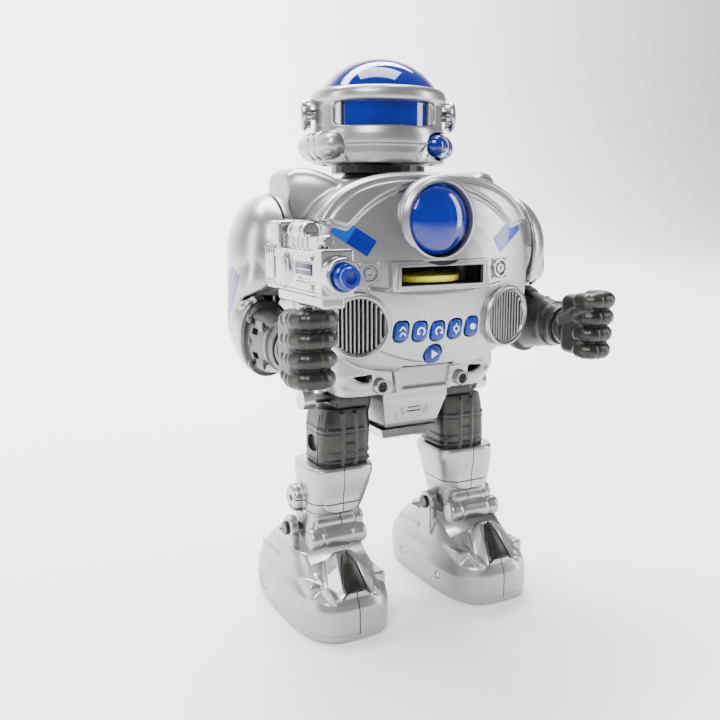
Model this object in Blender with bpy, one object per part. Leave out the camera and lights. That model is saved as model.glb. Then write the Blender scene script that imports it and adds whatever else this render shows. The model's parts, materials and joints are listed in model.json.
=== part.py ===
"""Walking toy robot, 310 mm tall, in metres with +Z up.

The robot faces -Y, so its right hand is at -X. Sizes are written in millimetres and turned into
metres by P(). The torso's upright axis runs through the neck, and everything hangs from one empty
that moves this axis so that the whole robot is centred over the origin.
"""
import math

import bmesh
import bpy
from mathutils import Matrix, Vector

MM = 0.001
GAP = 0.3                       # air between neighbouring pieces
WALL = 2.2                      # thickness of the moulded shells
AXIS_BACK = 33.6                # the torso's axis lies this far behind the middle of the robot

# Torso
CHEST_Z = 192                   # middle of the round chest
CHEST_HALF_X, CHEST_HALF_Z = 66, 51
CHEST_POWER = 2.8               # squareness of the chest's outline
FACE_Y, FACE_DOME = -70, 13.5   # foremost point of the chest, and how far its edge lies behind it
BACK_Y = 64                     # hindmost face of the battery housing
SEAM_Y = -19                    # where the front and back shells meet
SKIRT_BOTTOM, SKIRT_Y = 128, -21  # underside of the skirt, and its middle
NECK_Z = 246.3                  # top of the shoulder yoke
LENS_Z, LENS_R, BEZEL_R = 221.5, 18.5, 22.8
SLOT_Z, SLOT_HALF_X, SLOT_HALF_Z = 193.5, 24.8, 4.8
GRILLE_X, GRILLE_Z, GRILLE_R = 45, 169, 17.3
BUTTON_Z, BUTTON_STEP, GO_Z = 164, 10.8, 151
BUTTON_PROUD = 2.4              # how far a button stands out of the chest
DISC_R, DISC_H, DISC_Z = 22, 3.2, 189.6
NECK_HOLE_R, SHOULDER_HOLE_R = 12.5, 8.5
# Rings (half width, half height, y) of the chest behind its domed face
CHEST_RINGS = (
    (66, 51, -54), (66, 51, -49.5), (62.5, 49.5, -45.5), (62, 49.5, 16),
    (59, 48, 36), (50, 41, 48), (34, 28, 51),
)
# Sections (x, low y, high y, top z) of the armour block above each shoulder
HORN_SECTIONS = ((44, -38, 16, 246), (56, -32, 12, 248.5), (65.5, -25, 6, 246))

# Head
HEAD_YAW = math.radians(-19)    # the head is turned a little to the robot's right
HELMET_Z, VISOR_Z, BROW_Z = 251, 271, 284.5
DOME_HALF, DOME_RISE, DOME_Z = 38, 34, 276
DOME_SEAT_Z = DOME_Z + 13       # lower edge of the clear dome
EAR_Y, EAR_Z, EAR_PIN_R = 1, 279, 3
VISOR_OUTER, VISOR_INNER = 34.2, 32.0

# Arms
SHOULDER_Y, SHOULDER_Z = -19, 206
ARM_X, ARM_INNER = 83, 69.3     # middle of the arm, and the flat side that faces the chest
WRIST_Y, WRIST_Z, WRIST_R = -70.5, 161.5, 10.5
WRIST_BORE_R, WRIST_STUB_R = 4.4, 4
FIST_Y = WRIST_Y - 4            # rear of the fist's palm
FINGER_STEP = 9.2
HAND_RISE, GUN_RISE = 2.5, 3.5  # how far the fist and the gun are lifted over their drawn heights
GUN_Y, BARREL_Z = -51, 196.5    # rear of the gun, and the height of its barrel
BARREL_R = 5.2
CUFF_Y = -30.1                  # where the sleeve ends and the glove begins
# Sections (y, z, tilt, half width, half depth) of the sleeve, from the shoulder to the cuff
SLEEVE_SECTIONS = (
    (-20, 204, 0, 11.5, 24), (-20, 192, 0, 13.2, 24.5), (-19, 181, 14, 13.5, 22.5),
    (-15.3, 171.5, 42, 13.5, 20.5), (-21, 164.5, 70, 13.5, 20), (CUFF_Y, WRIST_Z, 90, 13.3, 19.4),
)
SLEEVE_DOME_AT = (75, SHOULDER_Y - 1, 204)
# Sections (y, half width, half height) of the glove
GLOVE_SECTIONS = (
    (-30.4, 13.4, 20), (-35, 13.4, 20), (-35.5, 11.6, 17.5),
    (-50, 11.4, 15), (-62, 11, 12.6), (WRIST_Y + 0.4, 10.8, 11.2),
)

# Legs
HIP_Y, HIP_Z = -22, 124
ANKLE_Y, ANKLE_Z = -18, 50
SHIN_X, FOOT_X = 45.5, 47
FOOT_HALF, FOOT_LONG, FOOT_MID_Y = 28, 52.5, -16
TOE_Y = FOOT_MID_Y - FOOT_LONG
ROLLER_Y, ROLLER_Z = FOOT_MID_Y + FOOT_LONG - 10.5, 10.5
AXLE_HOLE_R, ANKLE_HOLE_R, PIN_R = 3.1, 2.6, 2.3
ANKLE_EAR_XS = (SHIN_X - 22.3, SHIN_X + 16.3)
# Sections (x, y, z, half width, half depth) of the thigh, the shin and the pocket between them
THIGH_SECTIONS = (
    (38.8, HIP_Y - 2, 80, 13, 12.5), (38.8, HIP_Y - 1.5, 92, 15.4, 15),
    (37.8, HIP_Y - 0.5, 112, 15.2, 16), (37.2, HIP_Y - 0.5, 120, 14.4, 15.5),
)
SHIN_SECTIONS = (
    (SHIN_X, ANKLE_Y - 1, 42, 13, 9), (SHIN_X, ANKLE_Y - 1.5, 50, 15.5, 12.5), (44, ANKLE_Y - 2, 58, 15.8, 15),
    (42.5, ANKLE_Y - 3.5, 68, 17.2, 17.5), (41, HIP_Y - 0.5, 80, 19, 19), (40.6, HIP_Y, 88, 19.4, 19),
)
POCKET_SECTIONS = (
    (38.8, HIP_Y - 2, 79.5, 13.5, 13), (38.8, HIP_Y - 1.5, 92, 15.9, 15.5), (38.8, HIP_Y - 1.5, 99, 15.9, 15.5),
)
# Sections (z, half width, half length, shift back) of the shoe
FOOT_SECTIONS = (
    (0, 26.5, 51, 0), (2, FOOT_HALF, FOOT_LONG, 0), (17, FOOT_HALF, FOOT_LONG, 0), (22, 26.8, 51, 0),
    (27, 24.5, 45, 2), (34, 22.6, 36, 4), (40, 21.6, 28, 4),
)
# Sections (distance behind the toe, top z, half width) of the raised instep
INSTEP_SECTIONS = ((3.5, 26.5, 11), (7.5, 29, 14), (14.5, 38, 13), (19.5, 43, 11), (24.5, 42, 10))
# Sections (distance behind the toe, low z, top z, half width) of the dark fin on the instep
FIN_SECTIONS = ((4, 24.0, 28.0, 8.0), (7.5, 24.0, 31.0, 8.5), (13.5, 30.0, 39.5, 6.0), (18, 36.0, 45.0, 2.5))


def P(x, y, z):
    return Vector((x, y, z)) * MM


# ---------------------------------------------------------------- shapes, as bmeshes

def tidy(shape):
    bmesh.ops.recalc_face_normals(shape, faces=shape.faces)
    return shape


def loft(rings):
    """A closed solid through rings of equally many points, with flat ends."""
    shape = bmesh.new()
    loops = [[shape.verts.new(p) for p in ring] for ring in rings]
    count = len(loops[0])
    for low, high in zip(loops, loops[1:]):
        for i in range(count):
            j = (i + 1) % count
            shape.faces.new((low[i], low[j], high[j], high[i]))
    shape.faces.new(loops[0])
    shape.faces.new(loops[-1])
    return tidy(shape)


def oval(count, half_a, half_b, power=2.0):
    """Points (a, b) of a rounded outline: power 2 is an ellipse, and more is squarer."""
    points = []
    for i in range(count):
        turn = 2 * math.pi * (i + 0.5) / count
        c, s = math.cos(turn), math.sin(turn)
        a = math.copysign(abs(c) ** (2 / power), c) * half_a
        b = math.copysign(abs(s) ** (2 / power), s) * half_b
        points.append((a, b))
    return points


def box(low, high, bevel=0.0, segments=1):
    shape = bmesh.new()
    bmesh.ops.create_cube(shape, size=1)
    middle = (Vector(low) + Vector(high)) / 2 * MM
    size = (Vector(high) - Vector(low)) * MM
    bmesh.ops.transform(shape, matrix=Matrix.Translation(middle) @ Matrix.Diagonal((*size, 1)), verts=shape.verts)
    if bevel:
        bmesh.ops.bevel(shape, geom=shape.edges[:], offset=bevel * MM, segments=segments,
                        profile=0.5, affect='EDGES', clamp_overlap=True)
    return tidy(shape)


def turned(profile, start, direction, segments=24):
    """A solid turned about the line from start along direction; profile holds (radius, distance)."""
    aim = Vector(direction).to_track_quat('Z', 'Y')
    rings = []
    for radius, along in profile:
        ring = []
        for i in range(segments):
            turn = 2 * math.pi * i / segments
            at = aim @ (Vector((radius * math.cos(turn), radius * math.sin(turn), along)) * MM)
            ring.append(Vector(start) * MM + at)
        rings.append(ring)
    return loft(rings)


def rod(start, direction, length, radius, segments=16):
    return turned([(radius, 0), (radius, length)], start, direction, segments)


def ring_band(outer, inner, start, direction, length, segments=24):
    """A plain ring, turned about the line from start along direction."""
    shape = bmesh.new()
    aim = Vector(direction).to_track_quat('Z', 'Y')
    loops = []
    for radius, along in ((outer, 0), (outer, length), (inner, length), (inner, 0)):
        loop = []
        for i in range(segments):
            turn = 2 * math.pi * i / segments
            at = aim @ (Vector((radius * math.cos(turn), radius * math.sin(turn), along)) * MM)
            loop.append(shape.verts.new(Vector(start) * MM + at))
        loops.append(loop)
    for a, b in zip(loops, loops[1:] + loops[:1]):
        for i in range(segments):
            j = (i + 1) % segments
            shape.faces.new((a[i], a[j], b[j], b[i]))
    return tidy(shape)


def ball(centre, radii, segments=24, rings=12):
    shape = bmesh.new()
    bmesh.ops.create_uvsphere(shape, u_segments=segments, v_segments=rings, radius=1)
    size = Matrix.Diagonal((*(Vector(radii) * MM), 1))
    bmesh.ops.transform(shape, matrix=Matrix.Translation(Vector(centre) * MM) @ size, verts=shape.verts)
    return tidy(shape)


def mirrored(shape, side):
    """The shape as it is for the left side, or mirrored for the right one."""
    if side < 0:
        bmesh.ops.transform(shape, matrix=Matrix.Diagonal((-1, 1, 1, 1)), verts=shape.verts)
    return tidy(shape)


def raised(shape, rise):
    bmesh.ops.translate(shape, vec=(0, 0, rise * MM), verts=shape.verts)
    return shape


def helper(shape):
    mesh = bpy.data.meshes.new("helper")
    shape.to_mesh(mesh)
    thing = bpy.data.objects.new("helper", mesh)
    bpy.context.scene.collection.objects.link(thing)
    return thing


def carve(base, joins=(), cuts=(), within=()):
    """The base shape with joins added, cuts taken away, and only what lies inside each of within."""
    thing = helper(base)
    helpers = [thing]
    steps = [(s, 'UNION') for s in joins] + [(s, 'INTERSECT') for s in within] + [(s, 'DIFFERENCE') for s in cuts]
    for shape, operation in steps:
        other = helper(shape)
        helpers.append(other)
        modifier = thing.modifiers.new(operation, 'BOOLEAN')
        modifier.operation = operation
        modifier.solver = 'EXACT'
        modifier.object = other
    bpy.context.view_layer.update()
    evaluated = thing.evaluated_get(bpy.context.evaluated_depsgraph_get())
    result = bmesh.new()
    result.from_mesh(evaluated.to_mesh())
    evaluated.to_mesh_clear()
    for other in helpers:
        bpy.data.objects.remove(other)
    return result


# ---------------------------------------------------------------- objects, materials and joints

def material(name, colour, roughness, metallic, alpha=1.0):
    made = bpy.data.materials.new(name)
    made.use_nodes = True
    shader = made.node_tree.nodes["Principled BSDF"]
    shader.inputs["Base Color"].default_value = (*colour, 1)
    shader.inputs["Roughness"].default_value = roughness
    shader.inputs["Metallic"].default_value = metallic
    shader.inputs["Alpha"].default_value = alpha
    return made


def empty(name, location=(0, 0, 0), parent=None, yaw=0.0):
    made = bpy.data.objects.new(name, None)
    bpy.context.scene.collection.objects.link(made)
    made.parent = parent
    made.location = Vector(location) * MM
    made.rotation_euler.z = yaw
    return made


def piece(name, shape, finish, parent, pivot=(0, 0, 0)):
    """One named sub-part; pivot is where its parent empty stands on the torso's axes."""
    mesh = bpy.data.meshes.new(name)
    bmesh.ops.translate(shape, vec=-Vector(pivot) * MM, verts=shape.verts)
    shape.to_mesh(mesh)
    shape.free()
    mesh.shade_smooth()
    mesh.set_sharp_from_angle(angle=math.radians(35))
    mesh.materials.append(finish)
    made = bpy.data.objects.new(name, mesh)
    bpy.context.scene.collection.objects.link(made)
    made.parent = parent
    return made


# ---------------------------------------------------------------- torso

def face_y(x, z, proud=0.0):
    """Where the chest's domed front lies at (x, z)."""
    reach = (abs(x) / CHEST_HALF_X) ** 2 + (abs(z - CHEST_Z) / CHEST_HALF_Z) ** 2
    return FACE_Y + FACE_DOME * reach - proud


def chest_body(grow):
    """The round body of the torso, lofted from front to back and made larger by grow."""
    outline = [(share, FACE_Y + FACE_DOME * share ** 2) for share in (0.25, 0.6, 0.85, 0.96)]
    rings = [(CHEST_HALF_X * share, CHEST_HALF_Z * share, y) for share, y in outline]
    loops = []
    for half_x, half_z, y in [*rings, *CHEST_RINGS]:
        share = half_x / CHEST_HALF_X
        shift = grow * (1 if y > SEAM_Y else -1) * (1.0 if share < 0.97 and abs(y) > 41 else 0.3)
        swell = grow * share
        outline = oval(24, half_x + swell, half_z + swell, CHEST_POWER)
        loops.append([P(a, y + shift, CHEST_Z + b) for a, b in outline])
    return loft(loops)


def skirt_body(grow, low, high):
    """The squarer lower body that the legs come out of."""
    loops = []
    for z, half_x, half_y in ((low, 46.5, 26.6), (140, 51, 30.4), (high, 50, 29)):
        loops.append([P(a, b + SKIRT_Y, z) for a, b in oval(20, half_x + grow, half_y + grow, 6)])
    return loft(loops)


def backpack(grow):
    return box((-37 - grow, 30, 146 - grow), (37 + grow, BACK_Y + grow, 224 + grow), 4 + grow)


def neck_hole():
    return rod((0, 0, 230), (0, 0, 1), 30, NECK_HOLE_R, 16)


def shoulder_holes():
    return rod((-90, SHOULDER_Y, SHOULDER_Z), (1, 0, 0), 180, SHOULDER_HOLE_R, 16)


def shell_hollow():
    lower = skirt_body(-WALL, SKIRT_BOTTOM - 8, 165)
    battery_room = box((-34, 30, 149), (34, BACK_Y - WALL, 221))
    return carve(chest_body(-WALL), joins=[lower, battery_room])


def shell_outside():
    return carve(chest_body(0), joins=[skirt_body(0, SKIRT_BOTTOM, 165), backpack(0)])


def slot_block(margin, front, back):
    """The disc slot's opening, larger by margin on every side, between two depths."""
    half_x, half_z = SLOT_HALF_X + margin, SLOT_HALF_Z + margin
    return box((-half_x, front, SLOT_Z - half_z), (half_x, back, SLOT_Z + half_z))


def torso_shells():
    """The front and back casings, hollow, open under the skirt, with every hole through them."""
    front_space = box((-100, -100, 100), (100, SEAM_Y - GAP / 2, 300))
    back_space = box((-100, SEAM_Y + GAP / 2, 100), (100, 120, 300))
    holes = [rod((0, -80, LENS_Z), (0, 1, 0), 45, LENS_R + 0.5, 24), slot_block(2.5, -90, -30)]
    for x, z, round_one in button_places():
        holes.append(button_shape(x, z, round_one, 0.4, -80, -40))
    for side in (-1, 1):
        holes.append(rod((side * GRILLE_X, -80, GRILLE_Z), (0, 1, 0), 50, GRILLE_R - 2.5, 20))
    front_cuts = [shell_hollow(), neck_hole(), shoulder_holes(), *holes]
    front = carve(shell_outside(), within=[front_space], cuts=front_cuts)
    door = box((-30, 50, 154), (30, 90, 206))
    switch_slot = box((-9, 50, 211.5), (9, 90, 218.5))
    back_cuts = [shell_hollow(), neck_hole(), shoulder_holes(), door, switch_slot]
    back = carve(shell_outside(), within=[back_space], cuts=back_cuts)
    return front, back


def button_places():
    """(x, z, is it round) of the five pills in their row, with the round start button below."""
    row = [(i * BUTTON_STEP, BUTTON_Z + 0.5 * abs(i), False) for i in (-2, -1, 0, 1, 2)]
    return row + [(0, GO_Z, True)]


def button_shape(x, z, round_one, grow, front, back):
    half_x, half_z, power = (5.2, 5.2, 2) if round_one else (4.0, 5.2, 3.5)
    ends = [[P(x + a, y, z + b) for a, b in oval(12, half_x + grow, half_z + grow, power)] for y in (front, back)]
    return loft(ends)


def shoulder_yoke():
    """Armour over the top of the chest, with a block above each shoulder."""
    blocks = []
    for side in (-1, 1):
        ends = []
        for x, low_y, high_y, top in HORN_SECTIONS:
            outline = [(low_y, 214), (high_y, 214), (high_y - 6, top - 7), (high_y - 12, top),
                       (low_y + 11, top), (low_y + 5, top - 7)]
            ends.append([P(side * x, y, z) for y, z in outline])
        blocks.append(loft(ends))
    keep = box((-66, -59, 221), (66, 38, 252))
    return carve(chest_body(3.3), joins=blocks, within=[keep], cuts=[chest_body(GAP), neck_hole()])


def make_torso(root, silver, chrome, blue, dark, inner):
    front, back = torso_shells()
    piece("chest_front_shell", front, silver, root)
    piece("back_shell", back, silver, root)
    piece("shoulder_yoke", shoulder_yoke(), silver, root)
    make_lens(root, silver, blue, inner)
    piece("disc_slot_frame", slot_frame(), silver, root)
    for side, name in ((-1, "right"), (1, "left")):
        piece(f"{name}_speaker_grille", speaker_grille(side), silver, root)
    speaker = turned([(14, 0), (14, 3), (9, 6), (9, 10)], (-GRILLE_X, -48, GRILLE_Z), (0, 1, 0), 20)
    piece("speaker", speaker, inner, root)
    make_pelvis(root, silver, chrome, dark)
    piece("walk_gearbox", box((-21, -36, 140), (21, 3, 158), 2), inner, root)
    piece("walk_motor", rod((0, 3.5, 156), (0, 1, 0), 18, 8.5, 16), inner, root)
    piece("battery_case", box((-28, 41, 155), (28, 59.5, 205), 1.5), inner, root)
    piece("circuit_board", box((-30, -45, 146), (30, -43.4, 176)), inner, root)
    tray = box((-27, -51, 185.2), (27, 5, 202))
    tray_hollow = box((-SLOT_HALF_X + 1, -60, 188.8), (SLOT_HALF_X - 1, 2, 200))
    wheel_window = box((19, -48, 187), (40, -18, 199))
    piece("disc_magazine", carve(tray, cuts=[tray_hollow, wheel_window]), inner, root)
    collar = ring_band(27, 8.8, (0, 0, NECK_Z + GAP), (0, 0, 1), 4, 28)
    piece("neck_collar", collar, dark, root)


def make_lens(root, silver, blue, inner):
    """The round lens in its bezel, with the lamp behind it."""
    lens_y = face_y(0, LENS_Z)
    bezel = ring_band(BEZEL_R, LENS_R + GAP, (0, lens_y - 4.2, LENS_Z), (0, 1, 0), 6.5, 24)
    piece("lens_bezel", carve(bezel, cuts=[chest_body(GAP)]), silver, root)
    dome = [(6, -6), (11.5, -4.8), (15.5, -2.6), (17.8, 0), (17.8, 2.5), (15, 2.5 + GAP)]
    piece("chest_lens", turned(dome, (0, lens_y, LENS_Z), (0, 1, 0), 24), blue, root)
    lamp = [(3, 7), (4.5, 9), (4.5, 13), (13, 15), (13, 17)]
    piece("lens_lamp", turned(lamp, (0, lens_y, LENS_Z), (0, 1, 0), 20), inner, root)


def slot_frame():
    """The flat frame on the chest's face, with the sleeve that leads the disc through the shell."""
    slot_y = face_y(0, SLOT_Z)
    wide, high = SLOT_HALF_X + 4.5, SLOT_HALF_Z + 2.6
    plate = box((-wide, slot_y - 2, SLOT_Z - high), (wide, slot_y + 3, SLOT_Z + high), 0.8)
    sleeve = slot_block(2, slot_y - 1, slot_y + 14)
    outside = carve(chest_body(GAP), cuts=[slot_block(2.2, -90, -30)])
    under_lens = rod((0, -90, LENS_Z), (0, 1, 0), 28.5, BEZEL_R + GAP, 24)
    return carve(plate, joins=[sleeve], cuts=[outside, slot_block(0, -90, -20), under_lens])


def make_pelvis(root, silver, chrome, dark):
    """The block under the skirt, its guard below, and the axle that carries both legs."""
    axle_hole = rod((-60, HIP_Y, HIP_Z), (1, 0, 0), 120, AXLE_HOLE_R)
    rear_y = 2
    rings = []
    for z, half_x, front_y in ((105.5, 15, -37), (108, 17, -40), (123, 20.5, -45), (137, 20.5, -45)):
        rings.append([P(-half_x, front_y, z), P(half_x, front_y, z),
                      P(half_x + 0.5, rear_y, z), P(-half_x - 0.5, rear_y, z)])
    piece("pelvis_block", carve(loft(rings), cuts=[axle_hole]), silver, root)
    rings = []
    for z, half_x, front_y in ((96, 11, -28), (99, 15, -34), (105, 18, -38)):
        rings.append([P(-half_x, front_y, z), P(half_x, front_y, z), P(half_x, 0, z), P(-half_x, 0, z)])
    piece("crotch_guard", loft(rings), chrome, root)
    axle = [(5.8, -60), (5.8, -53.2), (2.7, -53.2), (2.7, 53.2), (5.8, 53.2), (5.8, 60)]
    piece("hip_axle", turned(axle, (0, HIP_Y, HIP_Z), (1, 0, 0), 20), dark, root)


def speaker_grille(side):
    """A raised ring with upright louvre bars, bedded on the chest's domed face."""
    y = face_y(GRILLE_X, GRILLE_Z)
    rim = ring_band(GRILLE_R, GRILLE_R - 3, (GRILLE_X, y - 5.5, GRILLE_Z), (0, 1, 0), 12, 16)
    seat = carve(rim, cuts=[chest_body(GAP)])
    plug = ring_band(GRILLE_R - 2.9, GRILLE_R - 4, (GRILLE_X, y - 4, GRILLE_Z), (0, 1, 0), 12, 16)
    bars = []
    for i in range(-2, 3):
        x = i * 5.2
        reach = math.sqrt((GRILLE_R - 3.4) ** 2 - x ** 2)
        bar_x, front = GRILLE_X + x, y - 2.5 + abs(i) * 0.1
        bars.append(box((bar_x - 0.7, front, GRILLE_Z - reach), (bar_x + 0.7, y + 2, GRILLE_Z + reach)))
    link = box((GRILLE_X - 13, y + 1, GRILLE_Z - 1), (GRILLE_X + 13, y + 3, GRILLE_Z + 1))
    return mirrored(carve(seat, joins=[plug, link, *bars]), side)


def make_controls(root, blue, yellow, dark, silver, inner):
    names = ("button_walk", "button_turn_left", "button_turn_right", "button_gun", "button_disc", "button_go")
    for name, (x, z, round_one) in zip(names, button_places()):
        front = face_y(x, z, BUTTON_PROUD)
        cap = carve(button_shape(x, z, round_one, 0, front, -55), joins=[rod((x, -56, z), (0, 1, 0), 5, 2, 12)])
        pivot = (x, front, z)
        piece(name, cap, blue, empty(name + "_travel", pivot, root), pivot)
    start = (0, face_y(0, DISC_Z) + 1.5 + DISC_R, DISC_Z)
    disc = turned([(DISC_R, 0), (DISC_R, DISC_H)], start, (0, 0, 1), 36)
    piece("foam_disc", disc, yellow, empty("disc_travel", start, root), start)
    hub = (31.2, -33, DISC_Z - 2)
    wheel = turned([(3, -6), (3, 0), (11.3, 0), (11.3, 6), (3, 6), (3, 9)], hub, (0, 0, 1), 24)
    piece("launch_wheel", wheel, inner, empty("launch_spin", hub, root), hub)
    door_at = (0, BACK_Y, 180)
    door = carve(box((-29.6, BACK_Y - 2.1, 154.4), (29.6, BACK_Y + 1.4, 205.6), 1),
                 joins=[box((-8, BACK_Y + 1, 196), (8, BACK_Y + 2.4, 200), 0.6)])
    piece("battery_cover", door, silver, empty("battery_cover_travel", door_at, root), door_at)
    knob_at = (-3, BACK_Y, 215)
    knob = carve(box((-6, BACK_Y - 3.5, 212.1), (0, BACK_Y + 2, 217.9), 0.8),
                 joins=[box((-9, BACK_Y - 5, 210), (3, BACK_Y - WALL - 0.4, 220))])
    piece("power_switch", knob, dark, empty("switch_travel", knob_at, root), knob_at)


# ---------------------------------------------------------------- head

def head_ring(profile, segments=24):
    return turned(profile, (0, 0, 0), (0, 0, 1), segments)


def helmet_outside():
    brim = [(37.2, 284), (38.4, 287), (37.8, 290), (35.4, 291.8)]
    return head_ring([(36, HELMET_Z), (37.2, 258), (37, 270), *brim])


def helmet_inside():
    return head_ring([(34, HELMET_Z - 5), (34.6, 262), (34.8, 286), (34.2, 290), (32.6, 300)])


def dome_room():
    """The space in the helmet's rim that the dome is bedded in."""
    room = ball((0, 0, DOME_Z), (DOME_HALF + GAP, DOME_HALF + GAP, DOME_RISE + GAP), 24, 12)
    return carve(room, within=[box((-50, -50, DOME_SEAT_Z - GAP), (50, 50, 320))])


def lamp_shape(side, grow):
    """A ribbed lamp that lies along the cheek."""
    start, end = Vector((39, 4, 261)), Vector((26, -31, 261))
    along = end - start
    length = along.length
    rows = [(3, -3 - grow), (4.2, 0), (7.0, 1), (7.4, length * 0.45), (6.8, length * 0.75),
            (4.6, length * 0.95), (2.5, length + grow)]
    profile = [(radius + grow, distance) for radius, distance in rows]
    return mirrored(turned(profile, start, along, 12), side)


def ear_pins():
    return rod((-60, EAR_Y, EAR_Z), (1, 0, 0), 120, EAR_PIN_R + GAP, 12)


def helmet_cuts():
    """What both halves of the helmet are hollowed with."""
    lamps = [lamp_shape(side, 0.4) for side in (-1, 1)]
    return [helmet_inside(), dome_room(), ear_pins(), *lamps]


def make_head(neck, silver, chrome, blue, dark):
    front = box((-60, -60, 240), (60, -GAP / 2, 320))
    back = box((-60, GAP / 2, 240), (60, 60, 288))
    opening = []
    for turn, radius in ((-47, 60), (-47, 20), (47, 20), (47, 60)):
        at = math.radians(turn)
        opening.append((radius * math.sin(at), -radius * math.cos(at)))
    visor_hole = loft([[P(x, y, z) for x, y in opening] for z in (VISOR_Z, BROW_Z)])
    face = carve(helmet_outside(), within=[front], cuts=[*helmet_cuts(), visor_hole])
    piece("helmet_face", face, silver, neck)
    rear = carve(helmet_outside(), within=[back], cuts=helmet_cuts())
    piece("helmet_back", rear, silver, neck)
    above_seat = box((-50, -50, DOME_SEAT_Z), (50, 50, 320))
    dome_inside = ball((0, 0, DOME_Z), (DOME_HALF - WALL, DOME_HALF - WALL, DOME_RISE - WALL), 20, 10)
    dome = ball((0, 0, DOME_Z), (DOME_HALF, DOME_HALF, DOME_RISE), 20, 12)
    piece("crown_dome", carve(dome, within=[above_seat], cuts=[dome_inside]), blue, neck)
    arc = []
    for radius, turns in ((VISOR_OUTER, range(-52, 53, 8)), (VISOR_INNER, range(52, -53, -8))):
        for turn in turns:
            arc.append((radius * math.sin(math.radians(turn)), -radius * math.cos(math.radians(turn))))
    piece("visor", loft([[P(x, y, z) for x, y in arc] for z in (VISOR_Z - 2, 286)]), blue, neck)
    pod = [(6.5, 38.4), (7.5, 40), (9.2, 41), (9.2, 43.6), (8, 44.6)]
    for side, name in ((-1, "right"), (1, "left")):
        ear = carve(turned(pod, (0, EAR_Y, EAR_Z), (1, 0, 0), 20),
                    joins=[rod((31, EAR_Y, EAR_Z), (1, 0, 0), 9, EAR_PIN_R, 12)])
        piece(f"{name}_ear_pod", mirrored(ear, side), chrome, neck)
        piece(f"{name}_cheek_lamp", lamp_shape(side, 0), blue, neck)
    turntable = [(12, 226), (12, 229), (8.2, 229.3), (8.2, HELMET_Z + 0.5), (30, HELMET_Z + 0.5),
                 (30, HELMET_Z + 3), (20, HELMET_Z + 8)]
    piece("head_turntable", head_ring(turntable), dark, neck)


# ---------------------------------------------------------------- arms

def tilted_oval(y, z, tilt, half_x, half_other, count=14):
    """A section of the sleeve: level at tilt 0, and upright, facing forward, at tilt 90."""
    c, s = math.cos(math.radians(tilt)), math.sin(math.radians(tilt))
    return [P(ARM_X + a, y + b * c, z - b * s) for a, b in oval(count, half_x, half_other, 2.3)]


def upper_arm(side):
    """A hollow sleeve that bends forward, under a dome that covers the shoulder's ring."""
    sleeve = loft([tilted_oval(*section) for section in SLEEVE_SECTIONS])
    sleeve = carve(sleeve, within=[box((ARM_INNER, -60, 120), (100, 60, 196))])
    dome = carve(ball(SLEEVE_DOME_AT, (21.5, 30, 31), 16, 8), within=[box((75.6, -60, 120), (97, 60, 260))])
    rows = [(y, z, tilt, a - WALL, b - WALL) for y, z, tilt, a, b in SLEEVE_SECTIONS[1:]]
    rows.append((-35, WRIST_Z, 90, 11, 17.1))
    sleeve_room = loft([tilted_oval(*row) for row in rows])
    dome_room_inside = carve(ball(SLEEVE_DOME_AT, (18, 26.5, 27.5), 12, 6),
                             within=[box((78, -60, 120), (97, 60, 260))])
    socket = rod((70, SHOULDER_Y, SHOULDER_Z), (1, 0, 0), 12, 6.6, 20)
    cuff_room = box((60, -70, 140), (110, CUFF_Y, WRIST_Z + 22.5))
    cuts = [dome_room_inside, sleeve_room, socket, shoulder_ring_room(), cuff_room]
    return mirrored(carve(dome, joins=[sleeve], cuts=cuts), side)


def shoulder_ring_room():
    """The space that the shoulder hub and its ring turn in."""
    return rod((60, SHOULDER_Y, SHOULDER_Z), (1, 0, 0), 15.3, 29.4, 20)


def shoulder_hub(side):
    """A flange inside the chest, a neck through its hole, the ring outside, and a stub in the sleeve."""
    profile = [(10.8, 52.4), (10.8, 55.4), (8, 55.7), (8, ARM_INNER + 0.2), (26, ARM_INNER + 0.2),
               (29, 71), (29, 75), (6.2, 75.2), (6.2, 81)]
    return mirrored(turned(profile, (0, SHOULDER_Y, SHOULDER_Z), (1, 0, 0), 20), side)


def arm_oval(y, half_x, half_z, count, power):
    return [P(ARM_X + a, y, WRIST_Z + b) for a, b in oval(count, half_x, half_z, power)]


def glove(side):
    shape = loft([arm_oval(*section, 20, 2.2) for section in GLOVE_SECTIONS])
    spigot = loft([arm_oval(y, 10.2, 16, 14, 2.3) for y in (-26, -31)])
    bore = rod((ARM_X, WRIST_Y - 5, WRIST_Z), (0, 1, 0), 25, WRIST_BORE_R)
    return mirrored(carve(shape, joins=[spigot], cuts=[bore]), side)


def fist(side, grip_hole):
    """A closed hand: palm, four curled fingers and a thumb, on a wrist stub that turns in the glove."""
    palm = box((72.5, FIST_Y - 20, 145), (94.5, FIST_Y, 178.5), 4)
    wrist = turned([(WRIST_R, 0), (WRIST_R, 5)], (ARM_X, WRIST_Y - 0.2, WRIST_Z), (0, -1, 0), 16)
    stub = rod((ARM_X, FIST_Y + 16, WRIST_Z), (0, -1, 0), 20, WRIST_STUB_R, 16)
    digits = [box((69.8, FIST_Y - 23, 166), (75.5, FIST_Y - 6, 175.5), 2.4)]
    for i in range(4):
        low = 143.6 + FINGER_STEP * i
        tip_x, front = 70.6 + 0.5 * (3 - i), FIST_Y - 29 + 0.8 * (3 - i)
        digits.append(box((tip_x, front, low), (95.6, FIST_Y - 12, low + FINGER_STEP + 0.5), 2.6))
    digits = [raised(digit, HAND_RISE) for digit in digits]
    cuts = [rod((ARM_X, FIST_Y - 13, 165), (0, 0, 1), 30, 4.4, 16)] if grip_hole else []
    return mirrored(carve(raised(palm, HAND_RISE), joins=[wrist, stub, *digits], cuts=cuts), side)


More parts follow.
